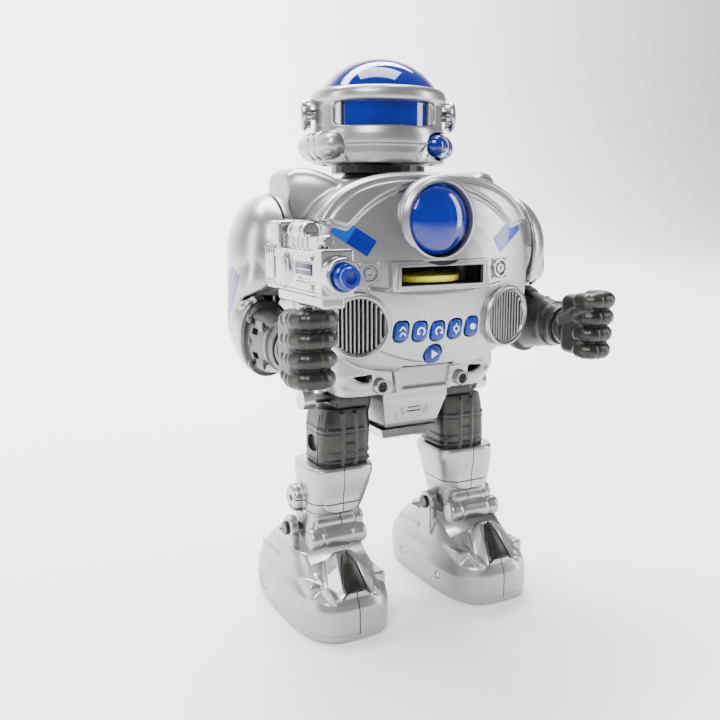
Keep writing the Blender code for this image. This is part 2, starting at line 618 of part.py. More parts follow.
def gun_body(side):
    frame = box((75.5, GUN_Y - 62, 186), (90.5, GUN_Y, 207), 2)
    nose = box((75, GUN_Y - 70, 187), (91, GUN_Y - 56, 208), 1)
    under = box((77.5, GUN_Y - 66, 181.4), (88.5, GUN_Y - 14, 190), 1.5)
    scope = turned([(3.6, 0), (4.6, 1), (4.6, 18), (3.6, 19)], (ARM_X, GUN_Y - 24, 214), (0, -1, 0), 16)
    rail = box((80, GUN_Y - 56, 204), (86, GUN_Y - 12, 213), 1)
    sight = box((77, GUN_Y - 18, 206), (89, GUN_Y - 5, 219), 2)
    peg = rod((ARM_X, FIST_Y - 13, 168), (0, 0, 1), 20, 4, 16)
    cap = turned([(8.5, 0), (8.5, 1.2), (6, 3)], (89, GUN_Y - 28, 197), (1, 0, 0), 20)
    bore = rod((ARM_X, GUN_Y - 90, BARREL_Z), (0, 1, 0), 32, BARREL_R, 16)
    ring = ring_band(8, BARREL_R, (ARM_X, GUN_Y - 73, BARREL_Z), (0, 1, 0), 6, 16)
    shape = carve(frame, joins=[nose, under, scope, rail, sight, peg, cap, ring], cuts=[bore])
    return mirrored(raised(shape, GUN_RISE), side)


def gun_muzzle(side):
    profile = [(4.3, 0), (4.3, 13), (5.6, 15.5), (5.6, 18), (4.6, 19), (4.6, 23.6)]
    shape = turned(profile, (ARM_X, GUN_Y - 59, BARREL_Z), (0, -1, 0), 16)
    return mirrored(raised(shape, GUN_RISE), side)


def make_arm(root, side, name, silver, dark, chrome, blue):
    shoulder = (side * ARM_X, SHOULDER_Y, SHOULDER_Z)
    swing = empty(f"{name}_shoulder", shoulder, root)
    piece(f"{name}_shoulder_hub", shoulder_hub(side), silver, swing, shoulder)
    piece(f"{name}_upper_arm", upper_arm(side), silver, swing, shoulder)
    piece(f"{name}_glove", glove(side), dark, swing, shoulder)
    wrist = (side * ARM_X, WRIST_Y, WRIST_Z)
    turn = empty(f"{name}_wrist", Vector(wrist) - Vector(shoulder), swing)
    piece(f"{name}_fist", fist(side, side < 0), dark, turn, wrist)
    if side < 0:
        piece("gun_body", gun_body(side), chrome, turn, wrist)
        piece("gun_muzzle", gun_muzzle(side), blue, turn, wrist)


# ---------------------------------------------------------------- legs

def squarish(x, y, z, half_x, half_y, power=4, count=16):
    return [P(x + a, y + b, z) for a, b in oval(count, half_x, half_y, power)]


def thigh(side):
    body = loft([squarish(*section) for section in THIGH_SECTIONS])
    boss = rod((23.4, HIP_Y, HIP_Z), (1, 0, 0), 20, 14.5, 20)
    bore = rod((0, HIP_Y, HIP_Z), (1, 0, 0), 70, AXLE_HOLE_R)
    return mirrored(carve(body, joins=[boss], cuts=[bore]), side)


def ankle_hole():
    return rod((0, ANKLE_Y, ANKLE_Z), (1, 0, 0), 90, ANKLE_HOLE_R)


def shin(side):
    """A boot shaft with a pocket for the thigh, a tube across its foot and a round pod outside."""
    body = loft([squarish(*section) for section in SHIN_SECTIONS])
    tube = rod((SHIN_X - 17, ANKLE_Y - 17.5, 47.5), (1, 0, 0), 34, 6.2, 16)
    web = box((SHIN_X - 12.2, ANKLE_Y - 18.5, 46.5), (SHIN_X + 12.2, ANKLE_Y - 4, 56.4), 1)
    pod = turned([(8, 0), (8, 6), (6.5, 7.4)], (58, ANKLE_Y + 2, 66.5), (1, 0, 0), 16)
    pocket = loft([squarish(*section) for section in POCKET_SECTIONS])
    return mirrored(carve(body, joins=[tube, web, pod], cuts=[pocket, ankle_hole()]), side)


def foot(side):
    """A broad shoe with a well for the ankle and an ear each side that holds the ankle pin."""
    rings = []
    for z, half_x, half_y, shift in FOOT_SECTIONS:
        rings.append(squarish(FOOT_X, FOOT_MID_Y + shift, z, half_x, half_y, 3.2, 16))
    sole = loft(rings)
    rings = []
    for back, top, half in INSTEP_SECTIONS:
        y, shoulder = TOE_Y + back, top - 5
        half_section = [(half, 20), (half, shoulder), (half * 0.45, top)]
        outline = [(-w, z) for w, z in half_section] + half_section[::-1]
        rings.append([P(FOOT_X + x, y, z) for x, z in outline])
    instep = loft(rings)
    ears = [rod((x, ANKLE_Y, ANKLE_Z), (1, 0, 0), 6, 7, 16) for x in ANKLE_EAR_XS]
    stays = []
    for x in ANKLE_EAR_XS:
        stays.append(box((x + 0.2, ANKLE_Y - 6.4, 30), (x + 5.8, ANKLE_Y + 6.4, ANKLE_Z + 1)))
    well = rod((SHIN_X - 17.7, ANKLE_Y, ANKLE_Z), (1, 0, 0), 35.4, 27.6, 28)
    below = box((FOOT_X - 14.4, ROLLER_Y - 1, -5), (FOOT_X + 14.4, ROLLER_Y + 20, 20))
    roller_room = carve(rod((FOOT_X - 14.6, ROLLER_Y, ROLLER_Z), (1, 0, 0), 29.2, 11.3, 20), joins=[below])
    cuts = [well, ankle_hole(), roller_room, toe_insert_shape(GAP)]
    return mirrored(carve(sole, joins=[instep, *ears, *stays], cuts=cuts), side)


def toe_insert_shape(grow):
    """The dark fin that runs down the instep to the toe."""
    rings = []
    for back, low, high, w in FIN_SECTIONS:
        y, w, low, high = TOE_Y + back, w + grow, low - grow, high + grow
        outline = [(-w, low), (-w * 0.8, high - 2.5), (0, high), (w * 0.8, high - 2.5), (w, low)]
        rings.append([P(FOOT_X + x, y, z) for x, z in outline])
    if grow:
        for point in rings[0]:
            point.y -= grow * MM
        for point in rings[-1]:
            point.y += grow * MM
    return loft(rings)


def make_leg(root, side, name, silver, dark, rubber):
    hip = (0, HIP_Y, HIP_Z)
    swing = empty(f"{name}_hip", hip, root)
    piece(f"{name}_thigh", thigh(side), dark, swing, hip)
    piece(f"{name}_shin", shin(side), silver, swing, hip)
    ankle = (0, ANKLE_Y, ANKLE_Z)
    tilt = empty(f"{name}_ankle", Vector(ankle) - Vector(hip), swing)
    piece(f"{name}_foot", foot(side), silver, tilt, ankle)
    piece(f"{name}_toe_insert", mirrored(toe_insert_shape(0), side), dark, tilt, ankle)
    rivet = [(4, -24.2), (4, -22.7), (PIN_R, -22.6), (PIN_R, 22.6), (4, 22.7), (4, 24.2)]
    pin = turned(rivet, (SHIN_X, ANKLE_Y, ANKLE_Z), (1, 0, 0), 12)
    piece(f"{name}_ankle_pin", mirrored(pin, side), dark, tilt, ankle)
    hub = (side * FOOT_X, ROLLER_Y, ROLLER_Z)
    roll = empty(f"{name}_roller_spin", Vector(hub) - Vector(ankle), tilt)
    barrel = [(9.6, -14), (10.4, -13), (10.4, 13), (9.6, 14)]
    roller = turned(barrel, (FOOT_X, ROLLER_Y, ROLLER_Z), (1, 0, 0), 20)
    piece(f"{name}_heel_roller", mirrored(roller, side), rubber, roll, hub)


def main():
    for thing in list(bpy.data.objects):
        bpy.data.objects.remove(thing)
    silver = material("silver_paint", (0.62, 0.63, 0.64), 0.32, 0.75)
    chrome = material("bright_silver", (0.78, 0.79, 0.8), 0.2, 0.9)
    blue = material("blue_clear_plastic", (0.01, 0.08, 0.75), 0.12, 0.0)
    dark = material("gunmetal_plastic", (0.09, 0.09, 0.08), 0.35, 0.4)
    yellow = material("yellow_foam", (0.85, 0.8, 0.1), 0.8, 0.0)
    rubber = material("grey_rubber", (0.12, 0.12, 0.12), 0.7, 0.0)
    inner = material("inner_plastic", (0.25, 0.26, 0.27), 0.6, 0.0)
    root = empty("robot", (0, AXIS_BACK, 0))
    make_torso(root, silver, chrome, blue, dark, inner)
    make_controls(root, blue, yellow, dark, silver, inner)
    make_head(empty("neck", parent=root, yaw=HEAD_YAW), silver, chrome, blue, dark)
    for side, name in ((-1, "right"), (1, "left")):
        make_arm(root, side, name, silver, dark, chrome, blue)
        make_leg(root, side, name, silver, dark, rubber)


main()
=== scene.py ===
"""Looks of the walking toy robot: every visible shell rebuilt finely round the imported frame.

Pieces are drawn in millimetres on the torso's own axes (its upright axis runs through the neck, the
robot faces -Y and its right side is -X), and P() puts them into the frame's metres.
"""
import json
import math

import bmesh
import bpy
from mathutils import Matrix, Vector
from mathutils.bvhtree import BVHTree


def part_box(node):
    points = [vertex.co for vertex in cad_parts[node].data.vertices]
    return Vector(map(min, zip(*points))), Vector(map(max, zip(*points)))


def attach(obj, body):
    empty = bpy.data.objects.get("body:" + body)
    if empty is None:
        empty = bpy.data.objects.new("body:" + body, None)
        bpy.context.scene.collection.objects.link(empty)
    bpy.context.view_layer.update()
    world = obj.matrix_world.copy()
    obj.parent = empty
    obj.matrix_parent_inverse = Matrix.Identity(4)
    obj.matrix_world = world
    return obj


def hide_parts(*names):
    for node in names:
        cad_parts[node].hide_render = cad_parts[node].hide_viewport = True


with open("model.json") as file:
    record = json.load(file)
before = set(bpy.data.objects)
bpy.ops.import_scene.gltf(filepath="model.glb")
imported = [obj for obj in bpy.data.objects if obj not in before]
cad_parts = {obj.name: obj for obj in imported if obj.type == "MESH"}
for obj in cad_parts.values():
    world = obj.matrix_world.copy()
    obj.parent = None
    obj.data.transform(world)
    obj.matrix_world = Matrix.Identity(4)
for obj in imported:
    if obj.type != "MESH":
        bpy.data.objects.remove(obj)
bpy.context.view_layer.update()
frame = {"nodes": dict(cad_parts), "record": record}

MM = 0.001
_collar_low, _collar_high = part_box("neck_collar")
AXIS = Vector((0, (_collar_low.y + _collar_high.y) / 2, 0))
HEAD_YAW = math.radians(-19)
CHEST_Z, CHEST_HALF_X, CHEST_HALF_Z, CHEST_POWER = 192, 66, 51, 2.8
FACE_Y, FACE_DOME = -70, 13.5
SEAM_Y, SKIRT_Y = -19, -21
LENS_Z, LENS_R, BEZEL_R = 221.5, 18.5, 22.8
SLOT_Z, SLOT_HALF_X, SLOT_HALF_Z = 193.5, 24.8, 4.8
GRILLE_X, GRILLE_Z, GRILLE_R = 45, 169, 17.3
ARM_X, SHOULDER_Y, SHOULDER_Z = 83, -19, 206
WRIST_Y, WRIST_Z = -70.5, 161.5
FIST_Y = WRIST_Y - 4
GUN_Y = -51
HAND_RISE, GUN_RISE = 2.5, 3.5
HIP_Y, HIP_Z, ANKLE_Y, ANKLE_Z = -22, 124, -18, 50
SHIN_X, FOOT_X, FOOT_MID_Y, FOOT_HALF, FOOT_LONG = 45.5, 47, -16, 28, 52.5
TOE_Y, HEEL_Y = FOOT_MID_Y - FOOT_LONG, FOOT_MID_Y + FOOT_LONG


def P(x, y, z):
    return Vector((x, y, z)) * MM


# ---------------------------------------------------------------- shapes, as bmeshes in the torso's axes

def tidy(shape):
    bmesh.ops.recalc_face_normals(shape, faces=shape.faces)
    return shape


def loft(rings, caps=True):
    shape = bmesh.new()
    loops = [[shape.verts.new(p) for p in ring] for ring in rings]
    count = len(loops[0])
    for low, high in zip(loops, loops[1:]):
        for i in range(count):
            j = (i + 1) % count
            shape.faces.new((low[i], low[j], high[j], high[i]))
    if caps:
        shape.faces.new(loops[0])
        shape.faces.new(loops[-1])
    return tidy(shape)


def oval(count, half_a, half_b, power=2.0):
    points = []
    for i in range(count):
        turn = 2 * math.pi * (i + 0.5) / count
        c, s = math.cos(turn), math.sin(turn)
        a = math.copysign(abs(c) ** (2 / power), c) * half_a
        b = math.copysign(abs(s) ** (2 / power), s) * half_b
        points.append((a, b))
    return points


def smoothed(rows, steps):
    """Rows of numbers joined by a Catmull-Rom curve, with steps rows for each gap."""
    made = []
    last = len(rows) - 1
    for i in range(last):
        before, here = rows[max(i - 1, 0)], rows[i]
        there, after = rows[i + 1], rows[min(i + 2, last)]
        for k in range(steps):
            t = k / steps
            made.append([0.5 * (2 * b + (c - a) * t + (2 * a - 5 * b + 4 * c - d) * t * t + (3 * b - a - 3 * c + d) * t ** 3)
                         for a, b, c, d in zip(before, here, there, after)])
    return made + [list(rows[-1])]


def box(low, high, bevel=0.0, segments=2):
    shape = bmesh.new()
    bmesh.ops.create_cube(shape, size=1)
    middle = (Vector(low) + Vector(high)) / 2 * MM
    size = (Vector(high) - Vector(low)) * MM
    bmesh.ops.transform(shape, matrix=Matrix.Translation(middle) @ Matrix.Diagonal((*size, 1)), verts=shape.verts)
    if bevel:
        bmesh.ops.bevel(shape, geom=shape.edges[:], offset=bevel * MM, segments=segments,
                        profile=0.5, affect='EDGES', clamp_overlap=True)
    return tidy(shape)


def turned(profile, start, direction, segments=64):
    """A solid turned about the line from start along direction; profile holds (radius, distance)."""
    aim = Vector(direction).to_track_quat('Z', 'Y')
    rings = []
    for radius, along in profile:
        ring = []
        for i in range(segments):
            turn = 2 * math.pi * i / segments
            at = aim @ (Vector((radius * math.cos(turn), radius * math.sin(turn), along)) * MM)
            ring.append(Vector(start) * MM + at)
        rings.append(ring)
    return loft(rings)


def rod(start, direction, length, radius, segments=48):
    return turned([(radius, 0), (radius, length)], start, direction, segments)


def pipe_ring(outer, inner, start, direction, length, segments=64, bevel=0.0):
    """A ring with a rectangular section, whose front and back corners are cut by bevel."""
    shape = bmesh.new()
    aim = Vector(direction).to_track_quat('Z', 'Y')
    b = bevel
    section = [(outer - b, 0), (outer, b), (outer, length - b), (outer - b, length),
               (inner + b, length), (inner, length - b), (inner, b), (inner + b, 0)]
    if not b:
        section = [(outer, 0), (outer, length), (inner, length), (inner, 0)]
    loops = []
    for radius, along in section:
        loop = []
        for i in range(segments):
            turn = 2 * math.pi * i / segments
            at = aim @ (Vector((radius * math.cos(turn), radius * math.sin(turn), along)) * MM)
            loop.append(shape.verts.new(Vector(start) * MM + at))
        loops.append(loop)
    for a, c in zip(loops, loops[1:] + loops[:1]):
        for i in range(segments):
            j = (i + 1) % segments
            shape.faces.new((a[i], a[j], c[j], c[i]))
    return tidy(shape)


def ball(centre, radii, segments=48, rings=24):
    shape = bmesh.new()
    bmesh.ops.create_uvsphere(shape, u_segments=segments, v_segments=rings, radius=1)
    size = Matrix.Diagonal((*(Vector(radii) * MM), 1))
    bmesh.ops.transform(shape, matrix=Matrix.Translation(Vector(centre) * MM) @ size, verts=shape.verts)
    return tidy(shape)


def capsule(start, end, start_r, end_r, segments=24):
    """A rod with round ends, which may taper."""
    start, end = Vector(start), Vector(end)
    length = (end - start).length
    profile = [(start_r * math.sin(math.radians(a)), -start_r * math.cos(math.radians(a))) for a in range(6, 91, 12)]
    profile += [(end_r * math.cos(math.radians(a)), length + end_r * math.sin(math.radians(a))) for a in range(0, 85, 12)]
    return turned(profile, start, end - start, segments)


def prism(outline, depth_low, depth_high):
    """An outline in (x, z) drawn out along Y."""
    return loft([[P(x, y, z) for x, z in outline] for y in (depth_low, depth_high)])


def mirrored(shape, side):
    if side < 0:
        bmesh.ops.transform(shape, matrix=Matrix.Diagonal((-1, 1, 1, 1)), verts=shape.verts)
    return tidy(shape)


def raised(shape, rise):
    bmesh.ops.translate(shape, vec=(0, 0, rise * MM), verts=shape.verts)
    return shape


def merged(shapes):
    """Several shapes as loose parts of one mesh."""
    whole = bmesh.new()
    for shape in shapes:
        mesh = bpy.data.meshes.new("part")
        shape.to_mesh(mesh)
        whole.from_mesh(mesh)
        bpy.data.meshes.remove(mesh)
    return whole


def helper(shape):
    mesh = bpy.data.meshes.new("helper")
    shape.to_mesh(mesh)
    thing = bpy.data.objects.new("helper", mesh)
    bpy.context.scene.collection.objects.link(thing)
    return thing


def evaluated_shape(thing):
    bpy.context.view_layer.update()
    evaluated = thing.evaluated_get(bpy.context.evaluated_depsgraph_get())
    result = bmesh.new()
    result.from_mesh(evaluated.to_mesh())
    evaluated.to_mesh_clear()
    return result


def carve(base, joins=(), cuts=(), within=()):
    """The base with joins added, only what lies inside each of within, and cuts taken away."""
    thing = helper(base)
    helpers = [thing]
    steps = [(s, 'UNION') for s in joins] + [(s, 'INTERSECT') for s in within] + [(s, 'DIFFERENCE') for s in cuts]
    for shape, operation in steps:
        other = helper(shape)
        helpers.append(other)
        modifier = thing.modifiers.new(operation, 'BOOLEAN')
        modifier.operation = operation
        modifier.solver = 'EXACT'
        modifier.object = other
    result = evaluated_shape(thing)
    for other in helpers:
        bpy.data.objects.remove(other)
    return result


def moulded(shape, voxel=0.5, rounds=4, factor=0.5):
    """The shape as moulded plastic: its loose parts fused, and every corner softly rounded."""
    thing = helper(shape)
    remesh = thing.modifiers.new("fuse", 'REMESH')
    remesh.mode = 'VOXEL'
    remesh.voxel_size = voxel * MM
    soften = thing.modifiers.new("soften", 'SMOOTH')
    soften.factor = factor
    soften.iterations = rounds
    result = evaluated_shape(thing)
    bpy.data.objects.remove(thing)
    return result


# ---------------------------------------------------------------- materials

def nodes_of(name):
    made = bpy.data.materials.new(name)
    made.use_nodes = True
    tree = made.node_tree
    return made, tree, tree.nodes["Principled BSDF"]


def noise(tree, scale, detail=3.0):
    place = tree.nodes.new("ShaderNodeTexCoord")
    texture = tree.nodes.new("ShaderNodeTexNoise")
    texture.inputs["Scale"].default_value = scale
    texture.inputs["Detail"].default_value = detail
    tree.links.new(place.outputs["Object"], texture.inputs["Vector"])
    return texture


def spread(tree, source, low, high):
    """The source's 0.3 to 0.7 mapped to low to high."""
    made = tree.nodes.new("ShaderNodeMapRange")
    made.inputs["From Min"].default_value = 0.3
    made.inputs["From Max"].default_value = 0.7
    made.inputs["To Min"].default_value = low
    made.inputs["To Max"].default_value = high
    tree.links.new(source, made.inputs["Value"])
    return made.outputs["Result"]


def tinted(tree, source, low, high):
    ramp = tree.nodes.new("ShaderNodeValToRGB")
    ramp.color_ramp.elements[0].position = 0.35
    ramp.color_ramp.elements[1].position = 0.65
    ramp.color_ramp.elements[0].color = (*low, 1)
    ramp.color_ramp.elements[1].color = (*high, 1)
    tree.links.new(source, ramp.inputs["Fac"])
    return ramp.outputs["Color"]


def bumped(tree, shader, source, strength, distance):
    bump = tree.nodes.new("ShaderNodeBump")
    bump.inputs["Strength"].default_value = strength
    bump.inputs["Distance"].default_value = distance
    tree.links.new(source, bump.inputs["Height"])
    tree.links.new(bump.outputs["Normal"], shader.inputs["Normal"])


def lacquer(name, low, high, metallic, roughness, coat=0.0):
    """Metallic lacquer: fine flake in the colour and the bump, and soft uneven gloss."""
    made, tree, shader = nodes_of(name)
    flake = noise(tree, 2600, 1.0)
    cloud = noise(tree, 28, 2.0)
    tree.links.new(tinted(tree, flake.outputs["Fac"], low, high), shader.inputs["Base Color"])
    tree.links.new(spread(tree, cloud.outputs["Fac"], roughness - 0.04, roughness + 0.05), shader.inputs["Roughness"])
    bumped(tree, shader, flake.outputs["Fac"], 0.05, 0.0002)
    shader.inputs["Metallic"].default_value = metallic
    shader.inputs["Coat Weight"].default_value = coat
    shader.inputs["Coat Roughness"].default_value = 0.12
    return made


def plastic(name, low, high, roughness, metallic=0.0, scale=90, grain=0.08, coat=0.0, transmission=0.0):
    made, tree, shader = nodes_of(name)
    cloud = noise(tree, scale, 4.0)
    fine = noise(tree, 1400, 2.0)
    tree.links.new(tinted(tree, cloud.outputs["Fac"], low, high), shader.inputs["Base Color"])
    tree.links.new(spread(tree, cloud.outputs["Fac"], roughness - 0.03, roughness + 0.05), shader.inputs["Roughness"])
    bumped(tree, shader, fine.outputs["Fac"], grain, 0.0002)
    shader.inputs["Metallic"].default_value = metallic
    shader.inputs["Coat Weight"].default_value = coat
    shader.inputs["Coat Roughness"].default_value = 0.05
    shader.inputs["Transmission Weight"].default_value = transmission
    shader.inputs["IOR"].default_value = 1.47
    return made


SILVER = lacquer("silver_paint", (0.31, 0.31, 0.32), (0.41, 0.41, 0.42), 0.9, 0.31, 0.15)
BRIGHT = lacquer("bright_silver", (0.36, 0.36, 0.37), (0.44, 0.44, 0.45), 0.95, 0.2, 0.2)
DARK = plastic("gunmetal", (0.020, 0.020, 0.018), (0.036, 0.035, 0.031), 0.3, 0.5, 120, 0.1)
BLACK = plastic("black_inside", (0.006, 0.006, 0.006), (0.012, 0.012, 0.012), 0.6, 0.0, 60)
CLEAR = plastic("blue_clear", (0.0, 0.004, 0.14), (0.0, 0.014, 0.30), 0.05, 0.0, 18, 0.0, 0.5, 0.2)
LENS = plastic("blue_lens", (0.0, 0.02, 0.50), (0.0, 0.045, 0.66), 0.05, 0.0, 18, 0.0, 0.4, 0.75)
DEEP = plastic("blue_deep", (0.0, 0.02, 0.50), (0.0, 0.05, 0.70), 0.2, 0.0, 18)
BUTTON = plastic("blue_solid", (0.0, 0.020, 0.19), (0.001, 0.032, 0.25), 0.3, 0.0, 70)
STICKER = plastic("sticker_blue", (0.0, 0.006, 0.17), (0.0, 0.012, 0.25), 0.15, 0.0, 40, 0.0, 0.3)
STICKER_PALE = plastic("sticker_pale", (0.0, 0.05, 0.36), (0.005, 0.08, 0.46), 0.15, 0.0, 40, 0.0, 0.3)
WHITE = plastic("white_ink", (0.80, 0.80, 0.80), (0.86, 0.86, 0.86), 0.5)
FOAM = plastic("yellow_foam", (0.74, 0.70, 0.03), (0.86, 0.83, 0.08), 0.85, 0.0, 500, 0.6)
RUBBER = plastic("grey_rubber", (0.06, 0.06, 0.06), (0.10, 0.10, 0.095), 0.65, 0.0, 200, 0.3)
INNER = plastic("inner_plastic", (0.20, 0.21, 0.22), (0.27, 0.28, 0.29), 0.6)
BOARD = plastic("circuit_green", (0.01, 0.10, 0.04), (0.02, 0.16, 0.06), 0.4)
STEEL = lacquer("motor_steel", (0.42, 0.42, 0.42), (0.55, 0.55, 0.55), 1.0, 0.3)
# Painted shade: a dark blue for the shells set just inside the clear dome and visor, standing in for the shade inside
# the head.
PAINTED_SHADE_BLUE = plastic("blue_shadow", (0.0, 0.002, 0.05), (0.0, 0.006, 0.11), 0.3, 0.0, 30)
NAVY = plastic("navy_inset", (0.004, 0.006, 0.03), (0.008, 0.012, 0.05), 0.25, 0.0, 60)
BADGE = lacquer("badge_grey", (0.26, 0.26, 0.26), (0.38, 0.38, 0.37), 0.7, 0.34)
SLOT_FINISH = {"silver_paint": SILVER, "bright_silver": BRIGHT, "gunmetal": DARK, "blue_clear": CLEAR,
               "blue_solid": BUTTON, "yellow_foam": FOAM, "grey_rubber": RUBBER, "inner_plastic": INNER,
               "motor_steel": STEEL}


# ---------------------------------------------------------------- pieces

def piece(name, body, slot, shape, finish=None, replaces=(), yaw=0.0, sharp=35, bevel=0.0):
    """One visible piece, riding on its body, with the finish of its record slot unless another is given."""
    mesh = bpy.data.meshes.new(name)
    place = Matrix.Translation(AXIS) @ Matrix.Rotation(yaw, 4, 'Z')
    bmesh.ops.transform(shape, matrix=place, verts=shape.verts)
    shape.to_mesh(mesh)
    shape.free()
    mesh.shade_smooth()
    if sharp:
        mesh.set_sharp_from_angle(angle=math.radians(sharp))
    mesh.materials.append(finish or SLOT_FINISH[slot])
    made = bpy.data.objects.new(name, mesh)
    bpy.context.scene.collection.objects.link(made)
    if bevel:
        round_off = made.modifiers.new("round", 'BEVEL')
        round_off.width = bevel * MM
        round_off.segments = 3
        round_off.limit_method = 'ANGLE'
        round_off.angle_limit = math.radians(35)
    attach(made, body)
    if replaces:
        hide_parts(*replaces)
    return made


def face_y(x, z, proud=0.0):
    """The depth of the chest's domed face at (x, z)."""
    power = CHEST_POWER
    share = ((abs(x) / CHEST_HALF_X) ** power + (abs(z - CHEST_Z) / CHEST_HALF_Z) ** power) ** (1 / power)
    return FACE_Y + FACE_DOME * share ** 2 - proud


def chest_body(grow=0.0, count=96):
    """The torso's round body, from its domed face to its back, larger by grow."""
    shares = (0.06, 0.2, 0.32, 0.45, 0.58, 0.7, 0.8, 0.88, 0.94)
    rings = [(CHEST_HALF_X * s, CHEST_HALF_Z * s, FACE_Y + FACE_DOME * s * s) for s in shares]
    rings += smoothed([(64.6, 49.7, -56.6), (65.8, 50.8, -54.8), (66, 51, -52.5), (65, 50.4, -49.8), (62.8, 49.5, -46.5)], 2)
    rings += [(62.5, 49.5, -40), (62, 49.5, 16)]
    rings += smoothed([(62, 49.5, 16), (59, 48, 36), (50, 41, 48), (34, 28, 51), (4, 3, 51.8)], 5)[1:]
    loops = []
    for half_x, half_z, y in rings:
        near_edge = 0.3 if half_x > 63 or abs(y) < 41 else 1.0
        shift = grow * near_edge * (1 if y > 0 else -1)
        swell = grow * min(1, half_x / 60)
        loops.append([P(a, y + shift, CHEST_Z + b) for a, b in oval(count, half_x + swell, half_z + swell, CHEST_POWER)])
    return loft(loops)


def skirt_body(grow=0.0, low=128, high=165):
    loops = []
    for z, half_x, half_y in smoothed([(low, 46.5, 26.6), (132, 47.8, 27.8), (140, 51, 30.4), (high, 50, 29)], 3):
        loops.append([P(a, b + SKIRT_Y, z) for a, b in oval(80, half_x + grow, half_y + grow, 9)])
    return loft(loops)


def keep_y(low, high):
    return box((-200, low, 0), (200, high, 400))


def make_chest():
    smile = [(x, 146.5 + 12.5 * (abs(x) / 40) ** 1.7) for x in range(-40, 41, 4)]
    brow = [(x, 184.5 + 3.5 * (x / 40) ** 2) for x in range(40, -41, -4)]
    panel = carve(chest_body(0.9), within=[prism(smile + brow, -90, -50)])
    waist = prism([(-17.0, 129.2), (17.0, 129.2), (20.5, 150), (-20.5, 150)], -54.0, -40)
    sides = [prism([(-14.2, 131.6), (14.2, 131.6), (16.6, 144.6), (-16.6, 144.6)], -60, -52.8)]
    straps = []
    for side in (-1, 1):
        sides.append(prism([(side * x, z) for x, z in ((30.5, 131.2), (42, 131.2), (45, 139.5), (30.5, 140.5))], -60, -48.9))
        for lift, proud in ((0, 0.8), (2.6, 1.5)):
            arc = smoothed([(3, 239.6), (16, 237), (29, 232.5), (40, 226), (50, 217)], 5)
            edge = [(side * x, z + lift) for x, z in arc] + [(side * 80, 226 + lift), (side * 80, 262), (side * 3, 262)]
            straps.append(carve(chest_body(proud), within=[prism(edge, -90, -54.2)]))
    holes = [rod((0, -80, LENS_Z), (0, 1, 0), 45, LENS_R + 0.5),
             box((-SLOT_HALF_X - 2.4, -90, SLOT_Z - SLOT_HALF_Z - 2.4), (SLOT_HALF_X + 2.4, -30, SLOT_Z + SLOT_HALF_Z + 2.4))]
    for x, z, round_one in button_places():
        holes.append(button_shape(x, z, round_one, 0.45, -80, -40))
    for side in (-1, 1):
        holes.append(rod((side * GRILLE_X, -80, GRILLE_Z), (0, 1, 0), 50, GRILLE_R - 2.2))
    inside = carve(chest_body(-2.2, 48), joins=[skirt_body(-2.2, 120, 165)])
    outer = carve(chest_body(), joins=[skirt_body(), panel, waist, *straps])
    front = carve(outer, within=[keep_y(-100, SEAM_Y - 0.15)], cuts=[inside, *sides, *holes])
    front = carve(front, cuts=[rod((-90, SHOULDER_Y, SHOULDER_Z), (1, 0, 0), 180, 8.5), rod((0, 0, 230), (0, 0, 1), 30, 12.5)])
    piece("front_casing", "torso", "silver_paint", moulded(front, 0.55, 3), replaces=["chest_front_shell"])


def backpack(grow=0.0):
    return box((-37 - grow, 30, 146 - grow), (37 + grow, 64 + grow, 224 + grow), 5 + grow, 5)


def make_back():
    outer = carve(chest_body(), joins=[skirt_body(), backpack()])
    inside = carve(chest_body(-2.2, 48), joins=[skirt_body(-2.2, 120, 165), box((-34, 30, 149), (34, 61.8, 221))])
    door = box((-30, 50, 154), (30, 90, 206))
    slit = box((-9, 50, 211.5), (9, 90, 218.5))
    screws = [rod((x, 70, z), (0, -1, 0), 9.5, 2.6) for x in (-33.2, 33.2) for z in (151, 219)]
    wells = [rod((x, 70, z), (0, -1, 0), 24, 3.4) for x in (-52, 52) for z in (168, 214)]
    bore = [rod((-90, SHOULDER_Y, SHOULDER_Z), (1, 0, 0), 180, 8.5), rod((0, 0, 230), (0, 0, 1), 30, 12.5)]
    back = carve(outer, within=[keep_y(SEAM_Y + 0.15, 120)], cuts=[inside, door, slit, *bore, *screws, *wells])
    piece("rear_casing", "torso", "silver_paint", moulded(back, 0.6, 3), replaces=["back_shell"])
    heads = []
    for x in (-52, 52):
        for z in (168, 214):
            heads.append(carve(turned([(2.9, 0), (2.9, 1.2), (1.8, 2.0)], (x, 44.2 + (2 if z < 190 else 0), z), (0, 1, 0), 32),
                               cuts=[box((x - 2, 40, z - 0.35), (x + 2, 60, z + 0.35)), box((x - 0.35, 40, z - 2), (x + 0.35, 60, z + 2))]))
    piece("rear_casing_screws", "torso", "motor_steel", merged(heads))


def button_places():
    row = [(i * 10.8, 164 + 0.5 * abs(i), False) for i in (-2, -1, 0, 1, 2)]
    return row + [(0, 151, True)]


def button_shape(x, z, round_one, grow, front, back, count=40):
    half_x, half_z, power = (5.2, 5.2, 2) if round_one else (4.0, 5.2, 3.5)
    ends = [[P(x + a, y, z + b) for a, b in oval(count, half_x + grow, half_z + grow, power)] for y in (front, back)]
    return loft(ends)


def button_cap(x, z, round_one):
    half_x, half_z, power = (5.2, 5.2, 2) if round_one else (4.0, 5.2, 3.5)
    front = face_y(x, z) - 2.4
    loops = []
    for inset, y in ((2.6, front), (1.2, front + 0.12), (0.5, front + 0.45), (0.12, front + 1.0), (0, front + 1.8), (0, -55)):
        loops.append([P(x + a, y, z + b) for a, b in oval(40, half_x - inset, half_z - inset, power)])
    return loft(loops), front


